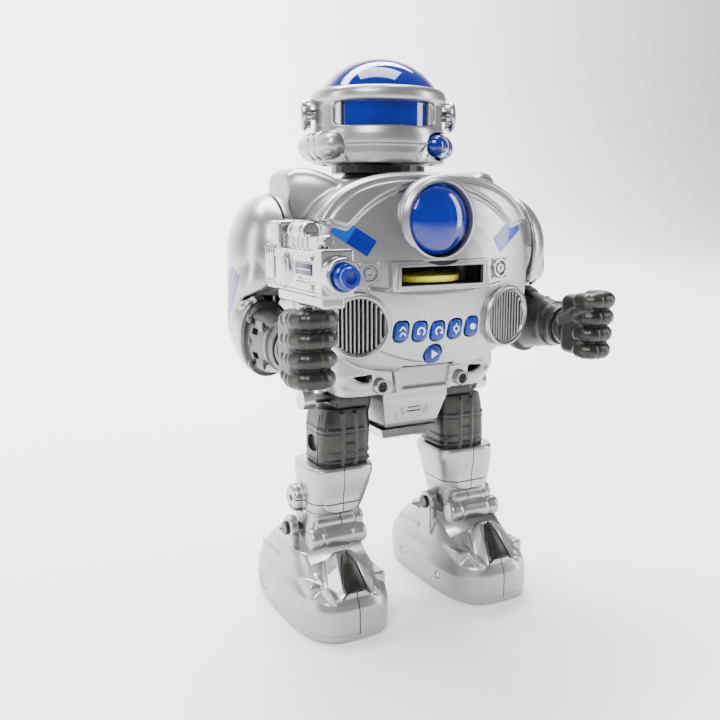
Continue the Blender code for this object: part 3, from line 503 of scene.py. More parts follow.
def arc_arrow(x, z, y, radius, start, end, clockwise):
    """A flat curved arrow in the plane at y."""
    inner, outer, points = radius - 0.42, radius + 0.42, []
    turns = [math.radians(start + (end - start) * i / 16) for i in range(17)]
    points += [(x + outer * math.cos(t), z + outer * math.sin(t)) for t in turns]
    tip = turns[-1] + math.radians(38 if end > start else -38)
    points += [(x + (radius + 1.15) * math.cos(turns[-1]), z + (radius + 1.15) * math.sin(turns[-1])),
               (x + radius * math.cos(tip), z + radius * math.sin(tip)),
               (x + (radius - 1.15) * math.cos(turns[-1]), z + (radius - 1.15) * math.sin(turns[-1]))]
    points += [(x + inner * math.cos(t), z + inner * math.sin(t)) for t in reversed(turns)]
    return prism(points, y - 0.12, y + 0.35)


def make_buttons():
    names = ("button_walk", "button_turn_left", "button_turn_right", "button_gun", "button_disc", "button_go")
    for name, (x, z, round_one) in zip(names, button_places()):
        cap, front = button_cap(x, z, round_one)
        piece(name + "_cap", name, "blue_solid", cap, replaces=[name], sharp=50)
        y = front - 0.02
        if name == "button_walk":
            marks = [prism([(x - 1.8, z + s), (x, z + s + 1.8), (x + 1.8, z + s), (x + 1.8, z + s + 0.9), (x, z + s + 2.7),
                            (x - 1.8, z + s + 0.9)], y - 0.12, y + 0.35) for s in (-2.6, 0.2)]
        elif name == "button_turn_left":
            marks = [arc_arrow(x, z, y, 2.0, -60, 200, False)]
        elif name == "button_turn_right":
            marks = [arc_arrow(x, z, y, 2.0, 240, -20, True)]
        elif name == "button_gun":
            marks = [pipe_ring(1.9, 1.2, (x, y + 0.35, z), (0, -1, 0), 0.47, 40)]
            marks += [box((x - 0.3, y - 0.12, z + s), (x + 0.3, y + 0.35, z + s + 1.5)) for s in (-2.9, 1.4)]
        elif name == "button_disc":
            marks = [rod((x, y + 0.35, z), (0, -1, 0), 0.47, 1.7, 40)]
        else:
            marks = [prism([(x - 1.5, z - 2.3), (x + 2.5, z), (x - 1.5, z + 2.3)], y - 0.12, y + 0.35)]
        piece(name + "_mark", name, "blue_solid", merged(marks), finish=WHITE, sharp=0)


def make_chest_fittings():
    lens_y = face_y(0, LENS_Z)
    profile = [(BEZEL_R, 3.2), (BEZEL_R, 0.2), (BEZEL_R - 0.5, -1.6), (BEZEL_R - 1.4, -2.6), (BEZEL_R - 1.9, -2.9),
               (BEZEL_R - 2.3, -3.7), (BEZEL_R - 3.0, -4.2), (LENS_R + 0.7, -4.2), (LENS_R + 0.35, -3.6), (LENS_R + 0.3, 3.2)]
    piece("lens_bezel_ring", "torso", "silver_paint", carve(ring_solid(profile, (0, lens_y, LENS_Z)), cuts=[chest_body(0.15)]),
          replaces=["lens_bezel"], sharp=45)
    dome = [(0.4, -6.2)] + [(17.9 * math.sin(math.radians(a)), 0.2 - 6.4 * math.cos(math.radians(a))) for a in range(6, 86, 5)]
    dome += [(18.1, 0.6), (18.1, 2.4), (16.5, 2.4), (15.6, 1.2), (11.0, -2.0), (6.0, -3.6), (0.4, -4.0)]
    piece("chest_lens_dome", "torso", "blue_clear", turned(dome, (0, lens_y, LENS_Z), (0, 1, 0), 96), finish=LENS, replaces=["chest_lens"], sharp=50)
    steps = [(0.4, 4.6)]
    for i in range(1, 8):
        steps += [(2.3 * i - 0.3, 4.6 + 0.55 * (i % 2)), (2.3 * i, 4.6 + 0.55 * ((i + 1) % 2))]
    steps += [(17.2, 3.0), (17.8, 3.0), (17.8, 7), (0.4, 7)]
    piece("lens_reflector", "torso", "inner_plastic", turned(steps, (0, lens_y, LENS_Z), (0, 1, 0), 96), finish=DEEP, sharp=20)
    slot_y = face_y(0, SLOT_Z)
    plate = box((-SLOT_HALF_X - 4.6, slot_y - 1.2, SLOT_Z - SLOT_HALF_Z - 2.8), (SLOT_HALF_X + 4.6, slot_y + 3.4, SLOT_Z + SLOT_HALF_Z + 2.8), 0.5, 2)
    lip = box((-SLOT_HALF_X - 1.6, slot_y - 2.0, SLOT_Z - SLOT_HALF_Z - 1.4), (SLOT_HALF_X + 1.6, slot_y + 2, SLOT_Z + SLOT_HALF_Z + 1.4), 0.4, 2)
    mouth = box((-SLOT_HALF_X, -90, SLOT_Z - SLOT_HALF_Z), (SLOT_HALF_X, -20, SLOT_Z + SLOT_HALF_Z))
    sleeve = box((-SLOT_HALF_X - 2, slot_y + 0.5, SLOT_Z - SLOT_HALF_Z - 2), (SLOT_HALF_X + 2, slot_y + 13, SLOT_Z + SLOT_HALF_Z + 2))
    under = rod((0, -90, LENS_Z), (0, 1, 0), 28.5, BEZEL_R + 0.2, 96)
    around = carve(chest_body(0.15), cuts=[box((-SLOT_HALF_X - 2.1, -90, 180), (SLOT_HALF_X + 2.1, -30, 201))])
    piece("slot_surround", "torso", "silver_paint", carve(plate, joins=[lip], cuts=[mouth, under, around]),
          replaces=["disc_slot_frame"], sharp=30)
    piece("slot_tunnel", "torso", "inner_plastic", carve(sleeve, cuts=[mouth]), finish=BLACK)
    disc_at = (0, face_y(0, 189.6) + 1.5 + 22, 189.6)
    disc = [(0.5, 0)] + [(21.6, 0), (22, 0.35), (22, 2.85), (21.6, 3.2), (19.5, 3.2), (19.0, 2.9), (18.0, 2.9), (17.5, 3.2), (0.5, 3.2)]
    piece("foam_disc_fine", "disc", "yellow_foam", turned(disc, disc_at, (0, 0, 1), 128), replaces=["foam_disc"], sharp=50)
    for side, name in ((-1, "right"), (1, "left")):
        make_grille(side, name)
        make_ornament(side, name)
        make_stickers(side, name)
        make_waist_bolt(side, name)


def ring_solid(profile, start, direction=(0, 1, 0), segments=96):
    """A closed ring turned from a section given all the way round."""
    shape = bmesh.new()
    aim = Vector(direction).to_track_quat('Z', 'Y')
    loops = []
    for radius, along in profile:
        loop = []
        for i in range(segments):
            turn = 2 * math.pi * i / segments
            at = aim @ (Vector((radius * math.cos(turn), radius * math.sin(turn), along)) * MM)
            loop.append(shape.verts.new(Vector(start) * MM + at))
        loops.append(loop)
    for a, b in zip(loops, loops[1:] + loops[:1]):
        for i in range(segments):
            j = (i + 1) % segments
            shape.faces.new((a[i], a[j], b[j], b[i]))
    return tidy(shape)


def make_grille(side, name):
    """A rounded rim on the chest's curve, upright louvres behind it and a dark cloth behind those."""
    y = face_y(GRILLE_X, GRILLE_Z)
    rim = []
    for k in range(12):
        turn = math.radians(30 * k)
        rim.append((GRILLE_R - 1.7 + 1.7 * math.cos(turn), -1.6 + 2.6 * math.sin(turn)))
    lean = Vector((0.24, -1, -0.06))
    centre = (GRILLE_X, y - 0.6, GRILLE_Z)
    ring = ring_solid(rim, centre, -lean)
    collar = ring_solid([(GRILLE_R - 0.4, 0), (GRILLE_R - 0.4, 7), (GRILLE_R - 3.0, 7), (GRILLE_R - 3.0, 0)], centre, -lean)
    bars = []
    for i in range(-6, 7):
        x = i * 2.15
        reach = math.sqrt(max((GRILLE_R - 2.6) ** 2 - x ** 2, 4))
        sag = 0.035 * x * x * 0.2
        bars.append(box((GRILLE_X + x - 0.55, y - 2.0 - sag + 0.24 * x, GRILLE_Z - reach),
                        (GRILLE_X + x + 0.55, y + 1.4 - sag + 0.24 * x, GRILLE_Z + reach), 0.3, 2))
    whole = merged([ring, collar, *bars])
    piece(name + "_grille", "torso", "silver_paint", mirrored(moulded(whole, 0.3, 1), side), replaces=[name + "_speaker_grille"], sharp=0)
    cloth = turned([(0.4, 4.0), (GRILLE_R - 3, 4.0), (GRILLE_R - 3, 5), (0.4, 5)], centre, -lean, 48)
    piece(name + "_grille_cloth", "torso", "inner_plastic", mirrored(cloth, side), finish=BLACK)


def make_ornament(side, name):
    x, z = 39.7, 195.5
    y = face_y(x, z)
    lean = (0.22, -1, 0)
    parts = [ring_solid([(5.4, 1.5), (5.4, -0.9), (5.0, -1.6), (4.2, -1.6), (3.8, -0.9), (3.8, 1.5)], (x, y, z), tuple(-v for v in lean), 64),
             turned([(2.7, 1.5), (2.7, -1.0), (2.3, -1.6), (1.3, -1.6), (0.9, -0.7), (0.3, -0.6)], (x, y, z), tuple(-v for v in lean), 48)]
    for turn in range(45, 360, 90):
        c, s = math.cos(math.radians(turn)), math.sin(math.radians(turn))
        parts.append(ball((x + 6.6 * c, y + 6.6 * c * 0.22 - 0.1, z + 6.6 * s), (1.0, 0.9, 1.0), 20, 12))
        parts.append(capsule((x + 5 * c, y + 5 * c * 0.22, z + 5 * s), (x + 6.6 * c, y + 6.6 * c * 0.22, z + 6.6 * s), 0.55, 0.55, 12))
    piece(name + "_chest_ornament", "torso", "silver_paint", mirrored(merged(parts), side), sharp=40)


def make_stickers(side, name):
    """A dark and a pale blue label, side by side, laid on the curve of the chest."""
    start, end = Vector((38, 207.6)), Vector((55.5, 219.6))
    along = (end - start).normalized()
    across = Vector((-along.y, along.x))
    length = (end - start).length
    for label, low, high, finish in (("dark", 0.0, 0.56, STICKER), ("pale", 0.565, 1.0, STICKER_PALE)):
        shape = bmesh.new()
        grid = []
        for i in range(13):
            row = []
            for j in range(9):
                at = start + along * length * (low + (high - low) * i / 12) + across * (j / 8 - 0.5) * 9.2
                row.append(P(at.x, face_y(at.x, at.y) - 0.16, at.y))
            grid.append(row)
        tops = [[shape.verts.new(p) for p in row] for row in grid]
        lows = [[shape.verts.new(p + P(0, 0.3, 0)) for p in row] for row in grid]
        for i in range(12):
            for j in range(8):
                shape.faces.new((tops[i][j], tops[i + 1][j], tops[i + 1][j + 1], tops[i][j + 1]))
                shape.faces.new((lows[i][j], lows[i][j + 1], lows[i + 1][j + 1], lows[i + 1][j]))
        edge = [(i, 0) for i in range(13)] + [(12, j) for j in range(1, 9)]
        edge += [(i, 8) for i in range(11, -1, -1)] + [(0, j) for j in range(7, 0, -1)]
        for (a, b), (c, d) in zip(edge, edge[1:] + edge[:1]):
            shape.faces.new((tops[a][b], lows[a][b], lows[c][d], tops[c][d]))
        piece(f"{name}_label_{label}", "torso", "blue_solid", mirrored(tidy(shape), side), finish=finish, sharp=50)


def make_waist_bolt(side, name):
    at = (25.5, -50.5, 133.5)
    boss = ring_solid([(4.3, 3), (4.3, -2.4), (3.7, -3.3), (3.1, -3.3), (2.6, -2.6), (2.6, 3)], at, (0, 1, 0), 48)
    piece(name + "_waist_boss", "torso", "silver_paint", mirrored(boss, side), sharp=40)
    head = carve(turned([(0.3, 2.4), (2.5, 2.4), (2.5, -1.2), (2.0, -1.6), (0.3, -1.6)], at, (0, 1, 0), 32),
                 cuts=[box((at[0] - 1.6, -60, at[2] - 0.35), (at[0] + 1.6, -51.2, at[2] + 0.35)),
                       box((at[0] - 0.35, -60, at[2] - 1.6), (at[0] + 0.35, -51.2, at[2] + 1.6))])
    piece(name + "_waist_screw", "torso", "gunmetal", mirrored(head, side))


def make_yoke():
    """Armour over the top of the chest, with a swept horn above each shoulder."""
    keep = box((-66, -58.6, 221.4), (66, 37.6, 251))
    horns, ridges, grooves = [], [], []
    for side in (-1, 1):
        rings = []
        rows = [(38, -39, 17, 242), (46, -36.5, 15, 246), (54, -32.5, 12.5, 248.4), (61, -28, 8.5, 248), (65.4, -24.5, 5.5, 245.5)]
        for x, low_y, high_y, top in smoothed(rows, 4):
            half = (high_y - low_y) / 2
            rings.append([P(side * x, (low_y + high_y) / 2 + a, 228 + b) for a, b in oval(48, half, top - 228, 4.5)])
        horns.append(loft(rings))
        for push in (0, 7):
            path = [(side * (16 + push * 0.6), -36 + push, 242.6), (side * 28, -34 + push, 241.6), (side * 40, -29.5 + push, 239.6 + push * 0.3),
                    (side * 52, -22 + push, 238.5 + push * 0.4), (side * 60, -16 + push, 234 + push * 0.4)]
            for a, b in zip(path, path[1:]):
                ridges.append(capsule(a, b, 1.5, 1.5, 16))
        grooves.append(rod((side * 54, 3, 244), (0, 0, 1), 10, 5.5, 40))
    collar = turned([(21, 226), (21, 245.2), (19.5, 246.4), (12.8, 246.4), (12.8, 226)], (0, 0, 0), (0, 0, 1), 64)
    whole = carve(chest_body(3.1), within=[keep])
    whole = moulded(merged([whole, *horns, *ridges, collar]), 0.8, 3)
    cuts = [chest_body(0.35), rod((0, 0, 230), (0, 0, 1), 30, 12.6), box((-70, -70, 210), (70, 50, 221.2))]
    cuts += [rod((side * 54, 2, 246.2), (0, 0, 1), 10, 5.0, 40) for side in (-1, 1)]
    piece("shoulder_armour", "torso", "silver_paint", carve(whole, cuts=cuts), replaces=["shoulder_yoke"])


def make_pelvis():
    rows = [(105.5, 14.5, -36.5), (106.5, 16, -38.5), (109, 17.2, -40.3), (123, 20.5, -45), (137, 20.5, -45)]
    loops = []
    for z, half_x, front_y in rows:
        loops.append([P(-half_x, front_y, z), P(half_x, front_y, z), P(half_x + 0.5, 2, z), P(-half_x - 0.5, 2, z)])
    hip = rod((-60, HIP_Y, HIP_Z), (1, 0, 0), 120, 3.3)
    frame_cut = loft([[P(-11, y, 110.5), P(11, y, 110.5), P(15, y + low, 126), P(-15, y + low, 126)] for y, low in ((-60, 0), (-42.2, -3.4))])
    seam = box((-0.35, -60, 100), (0.35, -37, 109))
    block = carve(loft(loops), cuts=[hip, frame_cut, seam])
    piece("hip_block", "torso", "silver_paint", moulded(block, 0.55, 3), replaces=["pelvis_block"])
    lean = (-44.9 + 41.6) / (126 - 111)
    plate = loft([[P(-10.4, -41.6 + push, 111), P(10.4, -41.6 + push, 111), P(14.2, -44.9 + push, 125.4), P(-14.2, -44.9 + push, 125.4)]
                  for push in (-0.1, 1.2)])
    piece("badge_plate", "torso", "inner_plastic", plate, finish=BADGE, bevel=0.25)
    marks = []
    for side in (-1, 1):
        for radius in (8.6, 7.4):
            arc = []
            for turn in range(-38, 39, 4):
                c, s = math.cos(math.radians(turn)), math.sin(math.radians(turn))
                arc.append(Vector((side * radius * c, -41.7 + lean * (118 + radius * 0.8 * s - 111), 118 + radius * 0.8 * s)))
            marks += [capsule(a, b, 0.2, 0.2, 8) for a, b in zip(arc, arc[1:])]
    for i in range(3):
        z = 115.6 + 2.4 * i
        y = -41.75 + lean * (z - 111)
        marks.append(box((-4.6 + i * 0.4, y - 0.15, z - 0.45), (4.6 - i * 0.4, y + 0.5, z + 0.45), 0.15))
    piece("badge_mark", "torso", "inner_plastic", merged(marks), finish=BLACK)


def make_head():
    skin = [(32.6, 251.4), (34.6, 251.2), (35.7, 251.9), (36.2, 253.4), (36.7, 257), (36.8, 260.6), (37.1, 261.4), (37.7, 262.1), (37.9, 264),
            (37.8, 267), (37.3, 269.6), (36.6, 271.2), (36.4, 276), (36.5, 283.2), (37.5, 284.0), (38.4, 285.0), (38.7, 286.4), (38.6, 288.4),
            (37.9, 290.2), (36.9, 291.4), (35.8, 291.8), (34.9, 291.5)]
    lining = [(35.5, 289.4), (35.6, 288.4), (34.7, 287.6), (34.6, 284), (34.6, 262), (33.6, 254)]
    helmet = head_solid(skin + lining)
    cheeks = [cheek_panel(skin, side, grow, edge) for side in (-1, 1) for grow, edge in ((0.8, 0), (1.7, 1))]
    front = box((-60, -60, 240), (60, -0.12, 320))
    back = box((-60, 0.12, 240), (60, 60, 320))
    opening = []
    outline = [(51 * a, 277.6 + 6.5 * b) for a, b in oval(64, 1, 1, 7)]
    for radius in (25, 60):
        opening.append([P(radius * math.sin(math.radians(turn)), -radius * math.cos(math.radians(turn)), z) for turn, z in outline])
    hollow = loft(opening)
    lamp_beds = [mirrored(lamp_solid(1.1), side) for side in (-1, 1)]
    pins = rod((-60, 1, 279), (1, 0, 0), 120, 3.3)
    face = carve(helmet, within=[front], cuts=[hollow, pins, *lamp_beds])
    ends = []
    for side in (-1, 1):
        arc = [(r * math.sin(math.radians(side * t)), -r * math.cos(math.radians(side * t)))
               for r, t in ((34.9, 44), (34.9, 49), (34.9, 54), (31.4, 54), (31.4, 48), (31.4, 43.4))]
        ends.append(loft([[P(x, y, z) for x, y in arc] for z in (269.6, 285.6)]))
    cheeks = [carve(cheek, cuts=[mirrored(lamp_solid(1.1), side) for side in (-1, 1)]) for cheek in cheeks]
    face = moulded(merged([face, *ends, *cheeks]), 0.42, 2)
    piece("helmet_front", "head", "silver_paint", face, replaces=["helmet_face"], yaw=HEAD_YAW)
    lamp_beds = [mirrored(lamp_solid(0.7), side) for side in (-1, 1)]
    vents = [box((-12, 30, z), (12, 50, z + 1.6), 0.7) for z in (258, 262, 266, 270)]
    rear = carve(head_solid(skin + lining), within=[back], cuts=[pins_copy(), *lamp_beds])
    rear = carve(rear, cuts=[carve(band, cuts=[rod((0, 0, 240), (0, 0, 1), 60, 35.8, 64)]) for band in vents])
    piece("helmet_rear", "head", "silver_paint", moulded(rear, 0.5, 3), replaces=["helmet_back"], yaw=HEAD_YAW)
    make_dome_and_visor()
    for side, name in ((-1, "right"), (1, "left")):
        make_ear(side, name)
        lamp = lamp_solid(0)
        piece(name + "_cheek_lamp_lens", "head", "blue_clear", mirrored(lamp, side), replaces=[name + "_cheek_lamp"], yaw=HEAD_YAW, sharp=50)
    table = [(12, 226), (12, 229), (8.2, 229.3), (8.2, 251.4), (29.6, 251.4), (30, 251.8), (30, 253.6), (29.4, 254), (21, 258.5), (20, 258.5)]
    piece("neck_turntable", "head", "gunmetal", turned(table, (0, 0, 0), (0, 0, 1), 96), replaces=["head_turntable"], yaw=HEAD_YAW, sharp=40)


def cheek_panel(skin, side, grow, edge):
    """A raised skin over the cheek, whose rounded front edge runs down to the helmet's rim."""
    rows = smoothed([(104, 268.6 - 3.4 * edge), (80, 269.4 - 3.4 * edge), (60, 268.4 - 3.4 * edge), (45 + 4 * edge, 265.4 - 3.4 * edge),
                     (34 + 7 * edge, 260 - 2.4 * edge), (28.5 + 8 * edge, 255.4 - edge), (27 + 8.5 * edge, 251.6)], 4) + [(104, 251.6)]
    wedge = []
    for radius in (30, 60):
        wedge.append([P(side * radius * math.sin(math.radians(turn)), -radius * math.cos(math.radians(turn)), z) for turn, z in rows])
    body = head_solid([(radius + grow, z) for radius, z in skin[1:12]] + [(35.4, 276), (35.4, 254)])
    return carve(body, within=[loft(wedge)])


def pins_copy():
    return rod((-60, 1, 279), (1, 0, 0), 120, 3.3)


def head_solid(section):
    shape = bmesh.new()
    count = 128
    loops = []
    for radius, z in section:
        loops.append([shape.verts.new(P(radius * math.cos(2 * math.pi * i / count), radius * math.sin(2 * math.pi * i / count), z)) for i in range(count)])
    for a, b in zip(loops, loops[1:] + loops[:1]):
        for i in range(count):
            j = (i + 1) % count
            shape.faces.new((a[i], a[j], b[j], b[i]))
    return tidy(shape)


def lamp_solid(grow):
    """A ribbed lamp that lies along the cheek, with a small tail behind."""
    start, end = Vector((39, 4, 261)), Vector((26, -31, 261))
    length = (end - start).length
    rows = [(3.0, -2.8), (3.9, -0.6), (6.4, 0.6), (7.0, 2.0), (7.2, length * 0.30), (7.2, length * 0.36), (6.6, length * 0.38), (6.6, length * 0.42),
            (7.1, length * 0.44), (7.1, length * 0.55), (6.5, length * 0.57), (6.5, length * 0.61), (6.8, length * 0.63), (6.5, length * 0.75),
            (5.9, length * 0.86), (4.8, length * 0.95), (3.4, length * 0.985), (2.3, length)]
    if grow:
        rows = [(radius + grow, along) for radius, along in rows]
    return turned([(0.3, rows[0][1] - grow)] + rows + [(0.3, rows[-1][1] + grow + 0.1)], start, end - start, 48)


def make_dome_and_visor():
    outer, inner = [], []
    for lift in range(23, 90, 3):
        c, s = math.cos(math.radians(lift)), math.sin(math.radians(lift))
        outer.append((37.9 * c, 276 + 33.9 * s))
        inner.append((35.8 * c, 276 + 31.8 * s))
    section = outer + [(0.4, 276 + 33.9), (0.4, 276 + 31.8)] + inner[::-1]
    piece("crown_dome_clear", "head", "blue_clear", ring_solid([(r, z) for r, z in section], (0, 0, 0), (0, 0, 1), 128),
          replaces=["crown_dome"], yaw=HEAD_YAW, sharp=50)
    # A dark blue shell just inside the clear crown dome: painted shade for the inside of the dome.
    shade_profile = [(35.4 * math.cos(math.radians(a)), 276 + 31.4 * math.sin(math.radians(a))) for a in range(22, 89, 4)]
    piece("crown_painted_shade", "head", "inner_plastic", turned([(0.4, shade_profile[0][1])] + shade_profile + [(0.4, 276 + 31.4)], (0, 0, 0), (0, 0, 1), 96), finish=PAINTED_SHADE_BLUE, yaw=HEAD_YAW)
    # The clear visor, and just behind it a dark blue shell that is painted shade behind the visor.
    for name, radius, thick, slot, finish, low, high in (("visor_clear", 33.2, 1.4, "blue_clear", CLEAR, 269.2, 285.8),
                                                         ("visor_painted_shade", 31.6, 1.2, "inner_plastic", PAINTED_SHADE_BLUE, 268.5, 286.4)):
        arc = []
        for r, turns in ((radius, range(-43, 44, 2)), (radius - thick, range(43, -44, -2))):
            arc += [(r * math.sin(math.radians(t)), -r * math.cos(math.radians(t))) for t in turns]
        shape = loft([[P(x, y, z) for x, y in arc] for z in (low, high)])
        piece(name, "head", slot, shape, finish=finish, replaces=["visor"] if name == "visor_clear" else (), yaw=HEAD_YAW)


def make_ear(side, name):
    at = (0, 1, 279)
    disc = [(0.3, 44.5), (5.6, 44.4), (7.8, 44.0), (8.8, 43.3), (9.2, 42.4), (9.2, 41.8), (8.8, 41.1), (7.6, 40.9), (7.6, 38.6), (3, 38.4),
            (3, 31), (0.3, 31)]
    hub = turned(disc, at, (1, 0, 0), 72)
    notches = []
    for i in range(12):
        turn = math.radians(30 * i)
        notches.append(rod((36, 1 + 7.9 * math.cos(turn), 279 + 7.9 * math.sin(turn)), (1, 0, 0), 5.1, 1.2, 16))
    piece(name + "_ear_disc", "head", "bright_silver", mirrored(carve(hub, cuts=notches), side), replaces=[name + "_ear_pod"], yaw=HEAD_YAW, sharp=30)


# ---------------------------------------------------------------- arms

def arm_section(y, z, tilt, half_x, half_other, count=56, power=2.3):
    c, s = math.cos(math.radians(tilt)), math.sin(math.radians(tilt))
    return [P(ARM_X + a, y + b * c, z - b * s) for a, b in oval(count, half_x, half_other, power)]


def make_upper_arm(side, name):
    rows = [(-20, 206, 0, 11.0, 24), (-20, 192, 0, 13.0, 24.3), (-19, 181, 14, 13.2, 22.3), (-15.3, 171.5, 42, 13.2, 20.3),
            (-21, 164.5, 70, 13.2, 19.8), (-27, 161.8, 86, 13.2, 19.3), (-30, 161.5, 90, 12.8, 19.0)]
    sleeve = loft([arm_section(*row) for row in smoothed(rows, 4)])
    dome = carve(ball((75, SHOULDER_Y - 1, 204), (21.2, 29.6, 30.6), 72, 36), within=[box((75.6, -60, 150), (97, 60, 260))],
                 cuts=[box((60, -70, 140), (110, -30.5, WRIST_Z + 22.5))])
    solid = moulded(merged([sleeve, dome]), 0.8, 10)
    inner = [(y, z, t, a - 2.2, b - 2.2) for y, z, t, a, b in rows[1:-1]] + [(-36, 161.5, 90, 10.9, 17.0)]
    room = carve(ball((75, SHOULDER_Y - 1, 204), (18, 26.3, 27.3), 48, 24), within=[box((77.8, -60, 150), (97, 60, 260))])
    ring_room = rod((60, SHOULDER_Y, SHOULDER_Z), (1, 0, 0), 15.4, 29.4, 72)
    shape = carve(solid, cuts=[loft([arm_section(*row, count=32) for row in inner]), room, ring_room,
                               rod((70, SHOULDER_Y, SHOULDER_Z), (1, 0, 0), 12, 6.7, 32)])
    surface = BVHTree.FromBMesh(shape)
    stripes(surface, side, name)
    piece(name + "_arm_shell", name + "_arm", "silver_paint", mirrored(shape, side), replaces=[name + "_upper_arm"], sharp=40)
    hub = [(10.8, 52.6), (10.8, 55.3), (8, 55.7), (8, 69.5), (24.6, 69.5), (26, 69.8), (28.6, 70.8), (29, 71.6), (29, 75), (6.2, 75.2), (6.2, 81)]
    ring = turned(hub, (0, SHOULDER_Y, SHOULDER_Z), (1, 0, 0), 96)
    panels = []
    for i in range(10):
        turn = math.radians(36 * i)
        c, s = math.cos(turn), math.sin(turn)
        panels.append(rod((68, SHOULDER_Y + 28.6 * c, SHOULDER_Z + 28.6 * s), (1, 0, 0), 8, 0.6, 12))
    piece(name + "_shoulder_ring", name + "_arm", "silver_paint", mirrored(carve(ring, cuts=panels), side), replaces=[name + "_shoulder_hub"], sharp=35)


def laid_strip(surface, path, width, proud, start_x=140):
    """A thin strip that follows a path of (y, z) points on the outer side of a surface."""
    shape = bmesh.new()
    tops, lows = [], []
    for i, (y, z) in enumerate(path):
        before, after = Vector(path[max(i - 1, 0)]), Vector(path[min(i + 1, len(path) - 1)])
        across = (after - before).normalized()
        across = Vector((-across.y, across.x)) * width / 2
        pair_top, pair_low = [], []
        for share in (-1, -0.5, 0, 0.5, 1):
            start = P(start_x, y + across.x * share, z + across.y * share)
            hit, normal, _, _ = surface.ray_cast(start, Vector((-1, 0, 0)))
            if hit is None:
                break
            if normal.x < 0:
                normal = -normal
            pair_top.append(hit + normal * proud * MM)
            pair_low.append(hit - normal * 0.3 * MM)
        if len(pair_top) == 5:
            tops.append([shape.verts.new(p) for p in pair_top])
            lows.append([shape.verts.new(p) for p in pair_low])
    for k in range(len(tops) - 1):
        for j in range(4):
            shape.faces.new((tops[k][j], tops[k + 1][j], tops[k + 1][j + 1], tops[k][j + 1]))
            shape.faces.new((lows[k][j], lows[k][j + 1], lows[k + 1][j + 1], lows[k + 1][j]))
        shape.faces.new((tops[k][0], lows[k][0], lows[k + 1][0], tops[k + 1][0]))
        shape.faces.new((tops[k][4], tops[k + 1][4], lows[k + 1][4], lows[k][4]))
    for k in (0, len(tops) - 1):
        shape.faces.new([*tops[k], *reversed(lows[k])])
    return tidy(shape)


def stripes(surface, side, name):
    """One broad and three fine blue bands that sweep up and forward across the outer side of the sleeve."""
    bands = []
    for offset, width in ((0, 4.6), (4.6, 1.2), (7.0, 1.2), (9.3, 1.2)):
        path = [(-19 - offset + 21 * (i / 20) ** 1.5, 198 - 0.4 * offset - 27 * (i / 20)) for i in range(21)]
        bands.append(laid_strip(surface, path, width, 0.1))
    piece(name + "_arm_stripes", name + "_arm", "blue_solid", mirrored(merged(bands), side), finish=STICKER, sharp=60)


def make_glove(side, name):
    rows = [(-30.4, 12.6, 19.2), (-31, 13.2, 19.8), (-32.6, 13.2, 19.8), (-33, 12.6, 19.2), (-33.8, 12.6, 19.2), (-34.2, 13.2, 19.8), (-35.2, 13.2, 19.8),
            (-36, 12.6, 19), (-36.4, 11.6, 17.4), (-42, 11.5, 16.4), (-50, 11.3, 14.9), (-58, 11.1, 13.3), (-60, 11.3, 13.2), (-62, 11.3, 12.8),
            (-63, 10.6, 12.0), (-67, 10.5, 11.4), (-68, 10.8, 11.4), (-70, 10.6, 11.0)]
    body = loft([[P(ARM_X + a, y, WRIST_Z + b) for a, b in oval(64, half_x, half_z, 2.2)] for y, half_x, half_z in rows])
    spigot = loft([[P(ARM_X + a, y, WRIST_Z + b) for a, b in oval(40, 10.2, 16, 2.3)] for y in (-26, -31)])
    extras, cuts = [], [rod((ARM_X, WRIST_Y - 5, WRIST_Z), (0, 1, 0), 25, 4.4)]
    for z in (150, 161.5, 173):
        extras.append(ball((94.0, -40.5, z), (1.4, 3.0, 2.4), 20, 12))
    for z in (155.5, 167.5):
        cuts.append(box((90.5, -50, z - 1.6), (98, -43, z + 1.6), 0.6))
    for z in (152, 171):
        extras.append(box((92.0, -57, z - 2.6), (93.6, -46, z + 2.6), 0.8))
    for z in (158, 165):
        cuts.append(box((60, -46, z - 1.1), (73.6, -38.5, z + 1.1), 0.4))
    shape = moulded(merged([body, *extras]), 0.5, 2)
    piece(name + "_gauntlet", name + "_arm", "gunmetal", mirrored(carve(shape, joins=[spigot], cuts=cuts), side), replaces=[name + "_glove"])


